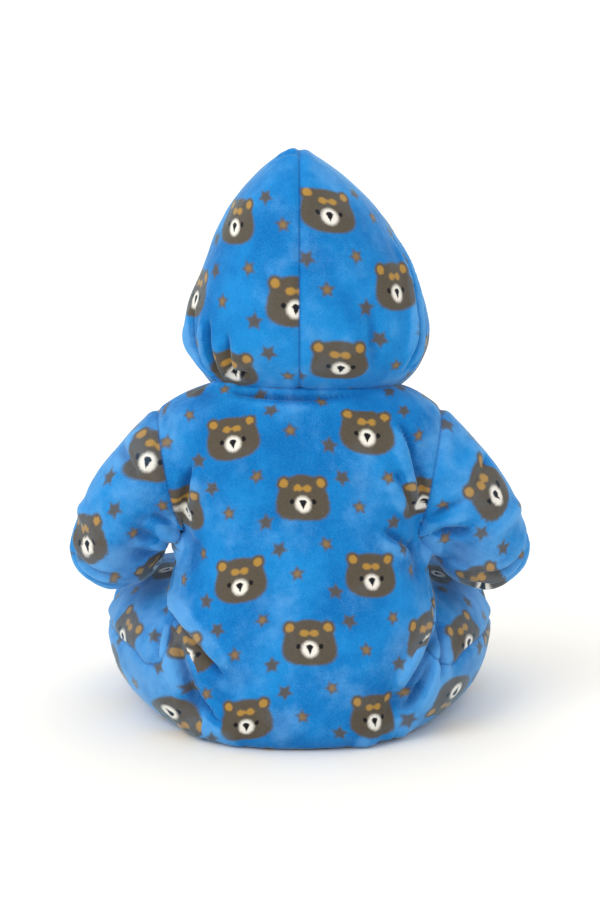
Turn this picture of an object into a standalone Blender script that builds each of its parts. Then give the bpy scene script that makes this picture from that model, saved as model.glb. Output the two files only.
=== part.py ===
"""Hooded one-piece sleepsuit in thick velvety fleece, hollow, in the pose of a seated toddler.

Lengths are in metres, +Z is up and the wearer faces -Y, so the wearer's left is +X.  Sections are
given with the seat at z = 0; one empty then brings the point where the wearer's neck and shoulders
hold the garment to the origin.
"""
import math

import bmesh
import bpy
from mathutils import Vector

# ---- driving sizes ---------------------------------------------------------------------------
WALL = 0.003              # thickness of the fleece
SEAT_LEVEL = 0.001        # the legs' undersides are pressed flat here
SEAM_GAP = 0.0003         # left between two panels, and between a panel and what lies on it
HOLD_HEIGHT = 0.310       # height of the neck above the seat, where the wearer carries the garment
BODY_COLUMNS = 28         # points round a body section
LIMB_COLUMNS = 12         # points round a sleeve or leg section
HOOD_COLUMNS = 24         # points round a hood section
TURN_REACH = 2            # sections each way that set the slant of a limb section at a bend
END_REACH = 0.030         # how far a hollow runs out past a cuff or ankle

# Body, from the seat to the neck.
# columns: height, middle x, half width, front y, back y, squareness, rise (per metre towards the back)
BODY_SECTIONS = (
    (0.000, 0.000, 0.056, -0.060, 0.088, 2.6, 0.00),
    (0.006, 0.000, 0.070, -0.080, 0.102, 2.8, 0.00),
    (0.024, 0.000, 0.086, -0.092, 0.111, 3.0, 0.00),
    (0.050, 0.000, 0.100, -0.098, 0.113, 3.0, 0.00),
    (0.080, -0.001, 0.112, -0.100, 0.110, 2.9, 0.00),
    (0.108, -0.001, 0.122, -0.100, 0.104, 2.7, 0.00),
    (0.138, -0.001, 0.118, -0.098, 0.098, 2.5, 0.00),
    (0.172, -0.001, 0.109, -0.093, 0.093, 2.5, 0.00),
    (0.208, -0.001, 0.107, -0.087, 0.088, 2.7, 0.00),
    (0.243, -0.001, 0.115, -0.080, 0.084, 3.0, 0.02),
    (0.270, -0.001, 0.123, -0.074, 0.080, 3.0, 0.05),
    (0.291, -0.001, 0.125, -0.068, 0.075, 2.6, 0.08),
    (0.304, -0.002, 0.111, -0.061, 0.068, 2.2, 0.11),
    (0.313, -0.003, 0.091, -0.055, 0.061, 2.1, 0.14),
    (0.319, -0.003, 0.070, -0.050, 0.055, 2.0, 0.16),
)

# Left leg, from inside the hip to the ankle.  columns: x, y, z, half width, half height
LEG_SECTIONS = (
    (0.034, 0.042, 0.054, 0.053, 0.053),
    (0.069, 0.027, 0.056, 0.067, 0.065),
    (0.098, -0.018, 0.059, 0.069, 0.065),
    (0.115, -0.067, 0.062, 0.066, 0.062),
    (0.122, -0.116, 0.065, 0.060, 0.058),
    (0.113, -0.159, 0.062, 0.054, 0.054),
    (0.085, -0.191, 0.056, 0.049, 0.050),
    (0.057, -0.214, 0.050, 0.045, 0.046),
    (0.030, -0.234, 0.046, 0.041, 0.042),
)

# Left sleeve, from inside the shoulder to the cuff.  columns: x, y, z, half width, half height
SLEEVE_SECTIONS = (
    (0.070, 0.004, 0.258, 0.047, 0.046),
    (0.106, 0.004, 0.247, 0.051, 0.051),
    (0.135, 0.004, 0.224, 0.048, 0.045),
    (0.155, 0.002, 0.197, 0.046, 0.044),
    (0.166, -0.008, 0.167, 0.044, 0.042),
    (0.167, -0.046, 0.157, 0.043, 0.040),
    (0.164, -0.090, 0.163, 0.041, 0.038),
    (0.159, -0.130, 0.173, 0.038, 0.036),
    (0.151, -0.166, 0.184, 0.035, 0.033),
)

# Hood, from the neck to the crown.  columns as for the body
HOOD_SECTIONS = (
    (0.304, -0.004, 0.060, -0.046, 0.046, 2.1, 0.16),
    (0.312, -0.005, 0.082, -0.064, 0.058, 2.1, 0.15),
    (0.322, -0.006, 0.098, -0.080, 0.072, 2.1, 0.12),
    (0.338, -0.007, 0.108, -0.094, 0.087, 2.1, 0.08),
    (0.358, -0.007, 0.112, -0.102, 0.095, 2.1, 0.04),
    (0.382, -0.007, 0.108, -0.106, 0.098, 2.1, 0.00),
    (0.407, -0.007, 0.099, -0.107, 0.097, 2.1, 0.00),
    (0.432, -0.006, 0.088, -0.106, 0.092, 2.1, 0.03),
    (0.456, -0.004, 0.076, -0.105, 0.083, 2.0, 0.07),
    (0.477, -0.003, 0.061, -0.103, 0.071, 2.0, 0.11),
    (0.495, -0.002, 0.045, -0.101, 0.056, 1.9, 0.14),
    (0.509, -0.001, 0.031, -0.098, 0.040, 1.9, 0.16),
    (0.519, 0.000, 0.016, -0.094, 0.024, 1.9, 0.17),
    (0.524, 0.000, 0.006, -0.086, 0.010, 1.9, 0.17),
)

# Seam between fronts and back, seen from the side: down the flank, then forward along the legs.
# columns: y, z
SIDE_SEAM = (
    (0.005, 0.420),
    (0.005, 0.200),
    (0.026, 0.140),
    (0.042, 0.105),
    (0.038, 0.082),
    (0.015, 0.067),
    (-0.120, 0.064),
    (-0.232, 0.047),
    (-0.360, 0.047),
)
FRONT_REACH = 0.420       # how far the fronts' side of that seam reaches ahead and up

# Edge of the face opening, seen from the side.  columns: y, z
FACE_EDGE = (
    (-0.058, 0.290),
    (-0.068, 0.325),
    (-0.075, 0.365),
    (-0.080, 0.420),
    (-0.082, 0.475),
    (-0.078, 0.540),
)

BLOCK_REACH = 0.400       # reach of the cutting blocks, past everything
ARMHOLE_TOP_X = 0.130     # how far out the armhole seam lies at the shoulder
ARMHOLE_LOW_X = 0.112     # and under the arm
ARMHOLE_TOP_Z = 0.298
ARMHOLE_LOW_Z = 0.200

PLACKET_HALF_WIDTH = 0.013
PLACKET_TOP = 0.284
PLACKET_LOW = 0.092
PLACKET_THICK = 0.0025
PLACKET_ROWS = 12         # strips down the placket
TRIM_GAP = 0.0006         # under the placket and the buttons
BUTTON_COUNT = 5
BUTTON_RADIUS = 0.0065
BUTTON_THICK = 0.003
BUTTON_HIGHEST = 0.270
BUTTON_LOWEST = 0.112

FLEECE_BLUE = (0.010, 0.215, 0.600, 1.0)
BUTTON_BLUE = (0.008, 0.120, 0.400, 1.0)


# ---- small tools -----------------------------------------------------------------------------
def clear_scene():
    for old in list(bpy.data.objects):
        bpy.data.objects.remove(old, do_unlink=True)


def new_collection(name):
    collection = bpy.data.collections.new(name)
    bpy.context.scene.collection.children.link(collection)
    return collection


def new_material(name, colour, roughness):
    material = bpy.data.materials.new(name)
    material.use_nodes = True
    shader = material.node_tree.nodes["Principled BSDF"]
    shader.inputs["Base Color"].default_value = colour
    shader.inputs["Roughness"].default_value = roughness
    shader.inputs["Metallic"].default_value = 0.0
    return material


def smooth_rows(rows, steps):
    """Rows on a smooth curve through the given ones, with steps intervals between each pair."""
    result = []
    last = len(rows) - 1
    for index in range(last):
        before = rows[max(index - 1, 0)]
        start = rows[index]
        end = rows[index + 1]
        after = rows[min(index + 2, last)]
        for step in range(steps):
            t = step / steps
            result.append(tuple(
                0.5 * (2 * b + (c - a) * t + (2 * a - 5 * b + 4 * c - d) * t ** 2
                       + (3 * b - a - 3 * c + d) * t ** 3)
                for a, b, c, d in zip(before, start, end, after)
            ))
    result.append(tuple(rows[last]))
    return result


def level_ring(row, columns):
    """Points of a near-level oval section, starting at the front centre and turning towards +X."""
    height, middle, half_width, front, back, squareness, rise = row
    points = []
    for index in range(columns):
        angle = 2 * math.pi * index / columns
        across = math.copysign(abs(math.sin(angle)) ** (2 / squareness), math.sin(angle))
        along = math.copysign(abs(math.cos(angle)) ** (2 / squareness), math.cos(angle))
        y = (front + back) / 2 - (back - front) / 2 * along
        points.append(Vector((middle + half_width * across, y, height + rise * y)))
    return points


def limb_rings(rows, columns, side):
    """Oval sections square to a limb's path; side is 1 for the wearer's left and -1 for the right."""
    rings = []
    for index, (x, y, z, half_width, half_height) in enumerate(rows):
        before = Vector(rows[max(index - TURN_REACH, 0)][:3])
        after = Vector(rows[min(index + TURN_REACH, len(rows) - 1)][:3])
        along = (after - before).normalized()
        across = along.cross(Vector((0, 0, 1))).normalized()
        upward = across.cross(along)
        ring = []
        for step in range(columns):
            angle = 2 * math.pi * step / columns
            point = Vector((x, y, z))
            point += across * half_width * math.cos(angle) + upward * half_height * math.sin(angle)
            ring.append(Vector((side * point.x, point.y, max(point.z, SEAT_LEVEL))))
        rings.append(ring)
    return rings


def loft(name, rings, collection, swell=0.0):
    """Closed solid through the rings; swell moves its surface outwards, or inwards if negative."""
    mesh = bpy.data.meshes.new(name)
    shape = bmesh.new()
    rows = [[shape.verts.new(point) for point in ring] for ring in rings]
    count = len(rows[0])
    for lower, upper in zip(rows, rows[1:]):
        for index in range(count):
            after = (index + 1) % count
            shape.faces.new((lower[index], lower[after], upper[after], upper[index]))
    shape.faces.new(rows[0])
    shape.faces.new(rows[-1])
    bmesh.ops.recalc_face_normals(shape, faces=shape.faces)
    shape.normal_update()
    if swell:
        moved = [(vert, vert.co + vert.normal * swell) for vert in shape.verts]
        for vert, place in moved:
            vert.co = place
    bmesh.ops.triangulate(shape, faces=shape.faces)
    shape.to_mesh(mesh)
    shape.free()
    made = bpy.data.objects.new(name, mesh)
    collection.objects.link(made)
    return made


def slab(name, outline, half_width, collection):
    """Solid whose outline, a list of (y, z), is drawn in the side view and reaches both ways in x."""
    mesh = bpy.data.meshes.new(name)
    shape = bmesh.new()
    corners = [shape.verts.new((-half_width, y, z)) for y, z in outline]
    face = shape.faces.new(corners)
    grown = bmesh.ops.extrude_face_region(shape, geom=[face])
    for item in grown["geom"]:
        if isinstance(item, bmesh.types.BMVert):
            item.co.x = half_width
    bmesh.ops.recalc_face_normals(shape, faces=shape.faces)
    shape.to_mesh(mesh)
    shape.free()
    made = bpy.data.objects.new(name, mesh)
    collection.objects.link(made)
    return made


def box(name, low, high, collection):
    mesh = bpy.data.meshes.new(name)
    shape = bmesh.new()
    bmesh.ops.create_cube(shape, size=1.0)
    for vert in shape.verts:
        vert.co = Vector(
            low[axis] if vert.co[axis] < 0 else high[axis] for axis in range(3)
        )
    shape.to_mesh(mesh)
    shape.free()
    made = bpy.data.objects.new(name, mesh)
    collection.objects.link(made)
    return made


def as_guide(guide):
    guide.hide_render = True
    guide.display_type = "WIRE"
    return guide


def cut(target, operation, tool):
    """One exact Boolean of target with tool, applied at once."""
    boolean = target.modifiers.new(operation.lower(), "BOOLEAN")
    boolean.operation = operation
    boolean.solver = "EXACT"
    boolean.object = tool
    bpy.context.view_layer.update()
    evaluated = target.evaluated_get(bpy.context.evaluated_depsgraph_get())
    result = bpy.data.meshes.new_from_object(evaluated)
    target.modifiers.remove(boolean)
    target.data = result
    return target


def copy_of(source, name, collection):
    made = bpy.data.objects.new(name, source.data.copy())
    collection.objects.link(made)
    return made


# ---- the garment -----------------------------------------------------------------------------
def limb_solids(name, sections, side, guides):
    """Outer solid of a limb and its hollow, which runs on past the open end."""
    rows = smooth_rows(sections, 2)
    outer = loft(name + "_outer", limb_rings(rows, LIMB_COLUMNS, side), guides)
    end = Vector(rows[-1][:3])
    onward = (end - Vector(rows[-2][:3])).normalized() * END_REACH
    rows.append((*(end + onward), *rows[-1][3:]))
    hollow = loft(name + "_hollow", limb_rings(rows, LIMB_COLUMNS, side), guides, -WALL)
    return outer, hollow


def armhole_side(name, side, inset, guides):
    """Block on the arm's side of the armhole seam, its seam face moved outwards by inset."""
    slope = (ARMHOLE_TOP_X - ARMHOLE_LOW_X) / (ARMHOLE_TOP_Z - ARMHOLE_LOW_Z)
    low_z = 0.05
    high_z = 0.40
    made = box(name, (0.0, -0.30, low_z), (0.40, 0.20, high_z), guides)
    for vert in made.data.vertices:
        if vert.co.x < 0.2:
            vert.co.x = ARMHOLE_LOW_X + slope * (vert.co.z - ARMHOLE_LOW_Z) + inset
        vert.co.x *= side
    if side < 0:
        made.data.flip_normals()
    return made


def make_sleeve(name, side, parts, guides):
    """One sleeve from its armhole seam to the cuff; gives the stub that goes to the body, and the hollow."""
    sleeve, hollow = limb_solids(name, SLEEVE_SECTIONS, side, guides)
    stub = copy_of(sleeve, name + "_stub", guides)
    cut(stub, "DIFFERENCE", armhole_side(name + "_arm_side", side, 0.0, guides))
    cut(sleeve, "INTERSECT", armhole_side(name + "_arm_side_moved", side, SEAM_GAP, guides))
    cut(sleeve, "DIFFERENCE", hollow)
    guides.objects.unlink(sleeve)
    parts.objects.link(sleeve)
    sleeve.name = name
    return stub, hollow


def make_trunk(parts, guides):
    """Shell of body and legs, open at the neck, armholes and ankles."""
    outer = loft("trunk", [level_ring(row, BODY_COLUMNS) for row in BODY_SECTIONS], guides)
    hollow = loft("trunk_hollow", [level_ring(row, BODY_COLUMNS) for row in BODY_SECTIONS], guides, -WALL)
    for name, side in (("left", 1), ("right", -1)):
        leg, leg_hollow = limb_solids("leg_" + name, LEG_SECTIONS, side, guides)
        stub, sleeve_hollow = make_sleeve("sleeve_" + name, side, parts, guides)
        for solid in (leg, stub):
            cut(outer, "UNION", solid)
        for solid in (leg_hollow, sleeve_hollow):
            cut(hollow, "UNION", solid)
    cut(outer, "DIFFERENCE", hollow)
    neck_hole = loft("neck_hole", [level_ring(row, HOOD_COLUMNS) for row in HOOD_SECTIONS], guides, -2 * WALL)
    return cut(outer, "DIFFERENCE", neck_hole)


def front_side(name, gap, guides):
    """Block ahead of and above the side seams, its seam face moved that way by gap."""
    seam = [(y - gap, z + gap) for y, z in smooth_rows(SIDE_SEAM, 3)]
    outline = seam + [(-FRONT_REACH, seam[-1][1]), (-FRONT_REACH, seam[0][1])]
    return slab(name, outline, BLOCK_REACH, guides)


def half_side(name, side, guides):
    """Block on one side of the centre line, clear of it by half a seam gap."""
    near = SEAM_GAP / 2
    low, high = (near, BLOCK_REACH) if side > 0 else (-BLOCK_REACH, -near)
    return box(name, (low, -BLOCK_REACH, -0.1), (high, BLOCK_REACH, 0.6), guides)


def make_body(parts, guides):
    trunk = make_trunk(parts, guides)
    back = copy_of(trunk, "back", parts)
    cut(back, "DIFFERENCE", front_side("front_side", 0.0, guides))
    moved = front_side("front_side_moved", SEAM_GAP, guides)
    for name, side in (("front_left", 1), ("front_right", -1)):
        front = copy_of(trunk, name, parts)
        cut(front, "INTERSECT", moved)
        cut(front, "INTERSECT", half_side(name + "_side", side, guides))


def front_point(height, across):
    """Point of the body's front at a height, across metres from the centre line."""
    rings = [level_ring(row, BODY_COLUMNS) for row in BODY_SECTIONS]
    for lower, upper in zip(rings, rings[1:]):
        if lower[0].z <= height <= upper[0].z:
            share = (height - lower[0].z) / (upper[0].z - lower[0].z)
            centre = lower[0].lerp(upper[0], share)
            beside = lower[1].lerp(upper[1], share)
            if across < 0:
                beside = lower[-1].lerp(upper[-1], share)
            return centre.lerp(beside, abs(across) / abs(beside.x - centre.x))
    raise ValueError(height)


def front_normal(height):
    """Direction straight out of the body's front on its centre line."""
    step = 0.01
    rise = front_point(height + step, 0.0) - front_point(height - step, 0.0)
    return Vector((1, 0, 0)).cross(rise).normalized()


def make_placket(parts):
    """Strip over the front opening, made from the front's own points, moved out."""
    shape = bmesh.new()
    rows = []
    for index in range(PLACKET_ROWS + 1):
        height = PLACKET_LOW + (PLACKET_TOP - PLACKET_LOW) * index / PLACKET_ROWS
        out = front_normal(height) * TRIM_GAP
        rows.append([
            shape.verts.new(front_point(height, across) + out)
            for across in (-PLACKET_HALF_WIDTH, 0.0, PLACKET_HALF_WIDTH)
        ])
    for lower, upper in zip(rows, rows[1:]):
        for index in (0, 1):
            shape.faces.new((lower[index], lower[index + 1], upper[index + 1], upper[index]))
    mesh = bpy.data.meshes.new("placket")
    shape.to_mesh(mesh)
    shape.free()
    placket = bpy.data.objects.new("placket", mesh)
    parts.objects.link(placket)
    wall = placket.modifiers.new("cloth", "SOLIDIFY")
    wall.thickness = PLACKET_THICK
    wall.offset = 1.0


def make_buttons(parts, material):
    for index in range(BUTTON_COUNT):
        height = BUTTON_HIGHEST + (BUTTON_LOWEST - BUTTON_HIGHEST) * index / (BUTTON_COUNT - 1)
        name = f"button_{index + 1}"
        mesh = bpy.data.meshes.new(name)
        shape = bmesh.new()
        bmesh.ops.create_cone(
            shape, cap_ends=True, segments=20,
            radius1=BUTTON_RADIUS, radius2=BUTTON_RADIUS, depth=BUTTON_THICK,
        )
        out = front_normal(height)
        turn = out.to_track_quat("Z", "Y").to_matrix()
        place = front_point(height, 0.0) + out * (2 * TRIM_GAP + PLACKET_THICK + BUTTON_THICK / 2)
        for vert in shape.verts:
            vert.co = turn @ vert.co + place
        shape.to_mesh(mesh)
        shape.free()
        mesh.materials.append(material)
        button = bpy.data.objects.new(name, mesh)
        parts.objects.link(button)
        rim = button.modifiers.new("rim", "BEVEL")
        rim.width = BUTTON_THICK / 4
        rim.segments = 1
        rim.limit_method = "ANGLE"


def make_hood(parts, guides):
    rings = [level_ring(row, HOOD_COLUMNS) for row in HOOD_SECTIONS]
    outer = loft("hood", rings, guides)
    cut(outer, "DIFFERENCE", loft("hood_hollow", rings[:-1], guides, -WALL))
    edge = smooth_rows(FACE_EDGE, 3)
    ahead = edge + [(-FRONT_REACH, edge[-1][1]), (-FRONT_REACH, edge[0][1])]
    cut(outer, "DIFFERENCE", slab("face_side", ahead, BLOCK_REACH, guides))
    body_rings = [level_ring(row, BODY_COLUMNS) for row in BODY_SECTIONS]
    cut(outer, "DIFFERENCE", loft("hood_seat", body_rings, guides, SEAM_GAP))
    for name, side in (("hood_left", 1), ("hood_right", -1)):
        half = copy_of(outer, name, parts)
        cut(half, "INTERSECT", half_side(name + "_side", side, guides))


def main():
    clear_scene()
    parts = new_collection("hooded_sleepsuit")
    guides = new_collection("cutters")
    fleece = new_material("fleece", FLEECE_BLUE, 0.85)
    make_body(parts, guides)
    make_hood(parts, guides)
    make_placket(parts)
    for panel in parts.objects:
        panel.data.materials.clear()
        panel.data.materials.append(fleece)
    make_buttons(parts, new_material("button", BUTTON_BLUE, 0.4))
    stand = bpy.data.objects.new("held_at_neck", None)
    stand.location = (0.0, 0.0, -HOLD_HEIGHT)
    bpy.context.scene.collection.objects.link(stand)
    for made in list(parts.objects) + list(guides.objects):
        made.parent = stand
    for guide in guides.objects:
        as_guide(guide)
    for made in parts.objects:
        for polygon in made.data.polygons:
            polygon.use_smooth = True
        made.data.set_sharp_from_angle(angle=math.radians(50))


main()
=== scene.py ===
import copy
import functools
import math

import bmesh
import bpy
import numpy as np
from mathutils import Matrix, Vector, noise
from mathutils.bvhtree import BVHTree
from mathutils.kdtree import KDTree


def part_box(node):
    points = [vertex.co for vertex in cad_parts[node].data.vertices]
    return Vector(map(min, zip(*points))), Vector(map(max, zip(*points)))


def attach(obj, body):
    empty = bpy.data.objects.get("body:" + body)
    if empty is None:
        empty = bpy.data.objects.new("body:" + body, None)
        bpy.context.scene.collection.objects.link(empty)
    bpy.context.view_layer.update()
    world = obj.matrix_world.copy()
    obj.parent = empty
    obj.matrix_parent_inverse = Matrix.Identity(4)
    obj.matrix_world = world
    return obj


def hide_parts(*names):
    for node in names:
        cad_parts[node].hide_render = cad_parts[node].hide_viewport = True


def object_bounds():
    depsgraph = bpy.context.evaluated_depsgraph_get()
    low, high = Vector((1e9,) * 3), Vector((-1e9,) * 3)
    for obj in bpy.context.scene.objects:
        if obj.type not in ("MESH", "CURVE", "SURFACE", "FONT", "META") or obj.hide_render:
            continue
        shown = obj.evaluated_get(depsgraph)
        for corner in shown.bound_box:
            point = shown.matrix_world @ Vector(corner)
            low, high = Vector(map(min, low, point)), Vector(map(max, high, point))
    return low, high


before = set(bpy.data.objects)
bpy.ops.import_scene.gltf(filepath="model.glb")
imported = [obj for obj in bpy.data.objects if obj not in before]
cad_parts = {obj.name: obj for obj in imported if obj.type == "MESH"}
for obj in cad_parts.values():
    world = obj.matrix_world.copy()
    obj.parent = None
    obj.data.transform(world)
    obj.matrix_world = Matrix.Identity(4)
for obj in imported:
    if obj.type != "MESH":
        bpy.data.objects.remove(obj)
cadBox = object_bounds()
print("frame loaded")

# Lengths are in metres, and in millimetres in the tables that pass through metres(). The seat is at
# z = 0 here; finishPiece lowers each made piece, so that the neck hold is the origin.
garment = {
    "neckAboveSeat": 0.310,
    "wall": 0.0028,         # thickness of the fleece
    "singleShare": 0.55,    # a single layer's thickness against a turned hem's
    "grid": 0.0031,         # size of the cloth's facets, halved near seams and creases
    "fineReach": 0.0046,    # how near
    "softening": 7,         # rounds of smoothing where sleeves and legs join the body
    "seatLevel": 0.0006,    # nothing hangs below this
}


def metres(rows, columns=None):   # a table whose first columns are in millimetres
    table = np.array(rows, float)
    table[:, :columns] /= 1000
    return table


# body from the seat to the neck
# columns: height, middle x, half width, front y, back y, squareness, rise (per metre towards the back)
bodySections = metres((
    (0, 0, 66, -60, 90, 2.7, 0),
    (6, 0, 82, -80, 103, 2.9, 0),
    (24, 0, 95, -92, 111, 3, 0),
    (50, 0, 103, -98, 113, 3, 0),
    (80, -1, 112, -100, 110, 2.9, 0),
    (108, -1, 122, -100, 104, 2.7, 0),
    (138, -1, 118, -98, 98, 2.5, 0),
    (172, -1, 109, -93, 93, 2.5, 0),
    (208, -1, 107, -87, 88, 2.7, 0),
    (243, -1, 115, -80, 84, 3, 0.02),
    (270, -1, 123, -74, 80, 3, 0.05),
    (291, -1, 125, -68, 75, 2.6, 0.08),
    (304, -2, 111, -61, 68, 2.2, 0.11),
    (313, -3, 91, -55, 61, 2.1, 0.14),
    (319, -3, 70, -50, 55, 2, 0.16),
), 5)
underside = metres(((0, 0, 16, -10, 34, 2.2, 0),), 5)   # the seat's middle, where the body closes

# left leg from inside the hip to the ankle.  columns: x, y, z, half width, half height
legSections = metres((
    (34, 42, 54, 53, 53),
    (69, 27, 56, 67, 65),
    (98, -18, 59, 69, 65),
    (115, -67, 62, 66, 62),
    (122, -116, 65, 60, 58),
    (113, -159, 62, 54, 54),
    (85, -191, 56, 49, 50),
    (57, -214, 50, 45, 46),
    (30, -234, 46, 41, 42),
))

# left sleeve from inside the shoulder to the cuff.  columns as for the leg
sleeveSections = metres((
    (70, 4, 258, 47, 46),
    (106, 4, 247, 51, 51),
    (135, 4, 224, 48, 45),
    (155, 2, 197, 46, 44),
    (166, -8, 167, 44, 42),
    (167, -46, 157, 43, 40),
    (164, -90, 163, 41, 38),
    (159, -130, 173, 38, 36),
    (151, -166, 184, 35, 33),
))

# hood from the neck to the crown.  columns as for the body
hoodSections = metres((
    (304, -4, 60, -46, 46, 2.1, 0.16),
    (312, -6, 80, -64, 58, 2.1, 0.15),
    (322, -8, 93, -80, 72, 2.1, 0.12),
    (338, -9, 102, -94, 87, 2.1, 0.08),
    (358, -8, 108, -102, 95, 2.1, 0.04),
    (382, -7, 106, -106, 98, 2.1, 0),
    (407, -7, 98, -107, 97, 2.1, 0),
    (432, -6, 89, -106, 92, 2.1, 0.03),
    (456, -4, 78, -105, 83, 2, 0.07),
    (477, -2, 65, -103, 72, 2, 0.11),
    (495, 0, 50, -101, 58, 2, 0.14),
    (509, 1, 36, -98, 43, 2, 0.16),
    (520, 2, 22, -94, 28, 2, 0.17),
    (527, 2, 9, -86, 12, 2, 0.17),
), 5)

# seams and edges, drawn from the side.  columns: y, z
sideSeam = metres((
    (5, 420), (5, 200), (16, 155), (38, 116), (61, 89), (64, 74), (45, 65), (8, 73), (-120, 66),
    (-232, 47), (-360, 47),
))
faceEdge = metres(((-78, 540), (-82, 475), (-80, 420), (-75, 365), (-68, 325), (-58, 290)))
armhole = {"lowX": 0.112, "topX": 0.130, "lowZ": 0.200, "topZ": 0.298, "onlyAbove": 0.165}

seams = {
    "grooveDepth": 0.0017, "grooveWidth": 0.0032,   # where two panels are sewn
    "puff": 0.0009, "puffAt": 0.0085, "puffWidth": 0.0050,   # the cloth swells beside a seam
    "hemWidth": 0.017,      # turned hems at cuffs, ankles and face
    "hemGroove": 0.0009, "hemGrooveWidth": 0.0026,
    "hemPuff": 0.0006, "hemPuffWidth": 0.0060,
    "hemRound": 0.0016, "hemRoundWidth": 0.0036,    # the fold at an open edge
    "hemStep": 0.0010,      # a hem's second layer ends this far inside its width
    "tuckedIn": 0.0050,     # the body's neck edge reaches this far into the hood
    "snap": 0.00015,        # a cut uses old points that are this near
}
borders = {   # where one part of the suit ends and the next begins
    "neck": 0.298,          # the hood covers the body only above this
    "nape": 0.29,           # open edges above this belong to the neck
    "waist": 0.14,          # the legs' print stays below this
    "shoulderX": 0.06, "shoulderY": -0.075,     # armholes are cut beyond and behind these
    "endReach": 0.075, "endBefore": 0.012,      # a cuff's faces, round its middle and before its edge
    "sleeveX": 0.125, "sleeveZ": 0.145,         # a panel whose middle is beyond and above is a sleeve
    "outseamX": 0.14,
    "backFaces": 25000,     # only the back has more
    "hoodBase": 0.345, "hoodNeck": 0.004,       # the hood's neck edge lies below, and as near the body
}


# surfaces from section tables

def smoothRows(rows, steps):   # rows on a smooth curve through the given ones
    padded = np.vstack([rows[:1], rows, rows[-1:]])
    made = []
    for a, b, c, d in zip(padded, padded[1:], padded[2:], padded[3:]):
        for t in np.arange(steps) / steps:
            made.append(0.5 * (2 * b + (c - a) * t + (2 * a - 5 * b + 4 * c - d) * t ** 2
                               + (3 * b - a - 3 * c + d) * t ** 3))
    made.append(rows[-1])
    return np.array(made)


bodyTable, hoodTable = smoothRows(bodySections, 8), smoothRows(hoodSections, 8)


def signedPower(values, power):
    return np.sign(values) * np.abs(values) ** power


def levelGrid(rows, columns):   # oval sections, from the front centre towards +X
    angle = 2 * np.pi * np.arange(columns) / columns
    height, middle, halfWidth, front, back, squareness, rise = (rows[:, k:k + 1] for k in range(7))
    across = signedPower(np.sin(angle)[None, :], 2 / squareness)
    along = signedPower(np.cos(angle)[None, :], 2 / squareness)
    x = middle + halfWidth * across
    y = (front + back) / 2 - (back - front) / 2 * along
    return np.stack([x, y, height + rise * y], axis=2)


def limbGrid(rows, columns, side, reach):   # oval sections square to the limb's path
    angle = 2 * np.pi * np.arange(columns) / columns
    grid = []
    for index, (x, y, z, halfWidth, halfHeight) in enumerate(rows):
        along = rows[min(index + reach, len(rows) - 1), :3] - rows[max(index - reach, 0), :3]
        along /= np.linalg.norm(along)
        across = np.cross(along, (0, 0, 1))
        across /= np.linalg.norm(across)
        upward = np.cross(across, along)
        ring = np.array([x, y, z]) + np.outer(halfWidth * np.cos(angle), across)
        ring += np.outer(halfHeight * np.sin(angle), upward)
        ring[:, 2] = np.maximum(ring[:, 2], garment["seatLevel"])
        ring[:, 0] *= side
        grid.append(ring)
    return np.array(grid)


def gridFaces(rowCount, columns, closed=True):   # closed: the last column meets the first
    return [
        (r * columns + c, r * columns + (c + 1) % columns, (r + 1) * columns + (c + 1) % columns,
         (r + 1) * columns + c)
        for r in range(rowCount - 1) for c in range(columns if closed else columns - 1)
    ]


def closedFaces(rowCount, columns):   # a tube with both ends shut
    last = (rowCount - 1) * columns
    return [*gridFaces(rowCount, columns), tuple(range(columns))[::-1], tuple(range(last, last + columns))]


def newPiece(name, points, faces):
    mesh = bpy.data.meshes.new(name)
    mesh.from_pydata([tuple(p) for p in points], [], faces)
    shape = bmesh.new()
    shape.from_mesh(mesh)
    bmesh.ops.recalc_face_normals(shape, faces=shape.faces)
    shape.to_mesh(mesh)
    shape.free()
    return linked(name, mesh)


def linked(name, data):   # a new object in the scene
    made = bpy.data.objects.new(name, data)
    bpy.context.scene.collection.objects.link(made)
    return made


def only(*pieces):   # selects these, with the first one active
    bpy.ops.object.select_all(action="DESELECT")
    for piece in pieces:
        piece.select_set(True)
    bpy.context.view_layer.objects.active = pieces[0]


def applyModifier(piece, kind, **settings):
    only(piece)
    modifier = piece.modifiers.new(kind.lower(), kind)
    for key, value in settings.items():
        setattr(modifier, key, value)
    bpy.ops.object.modifier_apply(modifier=modifier.name)


def pointsOf(piece):
    flat = np.empty(len(piece.data.vertices) * 3)
    piece.data.vertices.foreach_get("co", flat)
    return flat.reshape(-1, 3)


def normalsOf(piece):
    return np.array([v.normal for v in piece.data.vertices])


def setValues(piece, word, values):   # a number for each point, kept on the piece
    layer = piece.data.attributes.new(word, "FLOAT", "POINT")
    layer.data.foreach_set("value", values.astype(np.float32))


def getValues(piece, word):
    values = np.empty(len(piece.data.vertices), np.float32)
    piece.data.attributes[word].data.foreach_get("value", values)
    return values


# how far a point lies outside a surface of level sections, in front of a line, or beyond an armhole

def levelDistance(table, points):
    x, y, z = points.T
    height = z.copy()
    for _ in range(5):
        height = z - np.interp(height, table[:, 0], table[:, 6]) * y
    middle, halfWidth, front, back, square = (
        np.interp(height, table[:, 0], table[:, k]) for k in range(1, 6)
    )
    halfDepth = (back - front) / 2
    ratio = (np.abs((x - middle) / halfWidth) ** square
             + np.abs((y - (front + back) / 2) / halfDepth) ** square) ** (1 / square)
    outside = (ratio - 1) * (halfWidth + halfDepth) / 2
    return np.maximum(outside, np.maximum(height - table[-1, 0], table[0, 0] - height))


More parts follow.
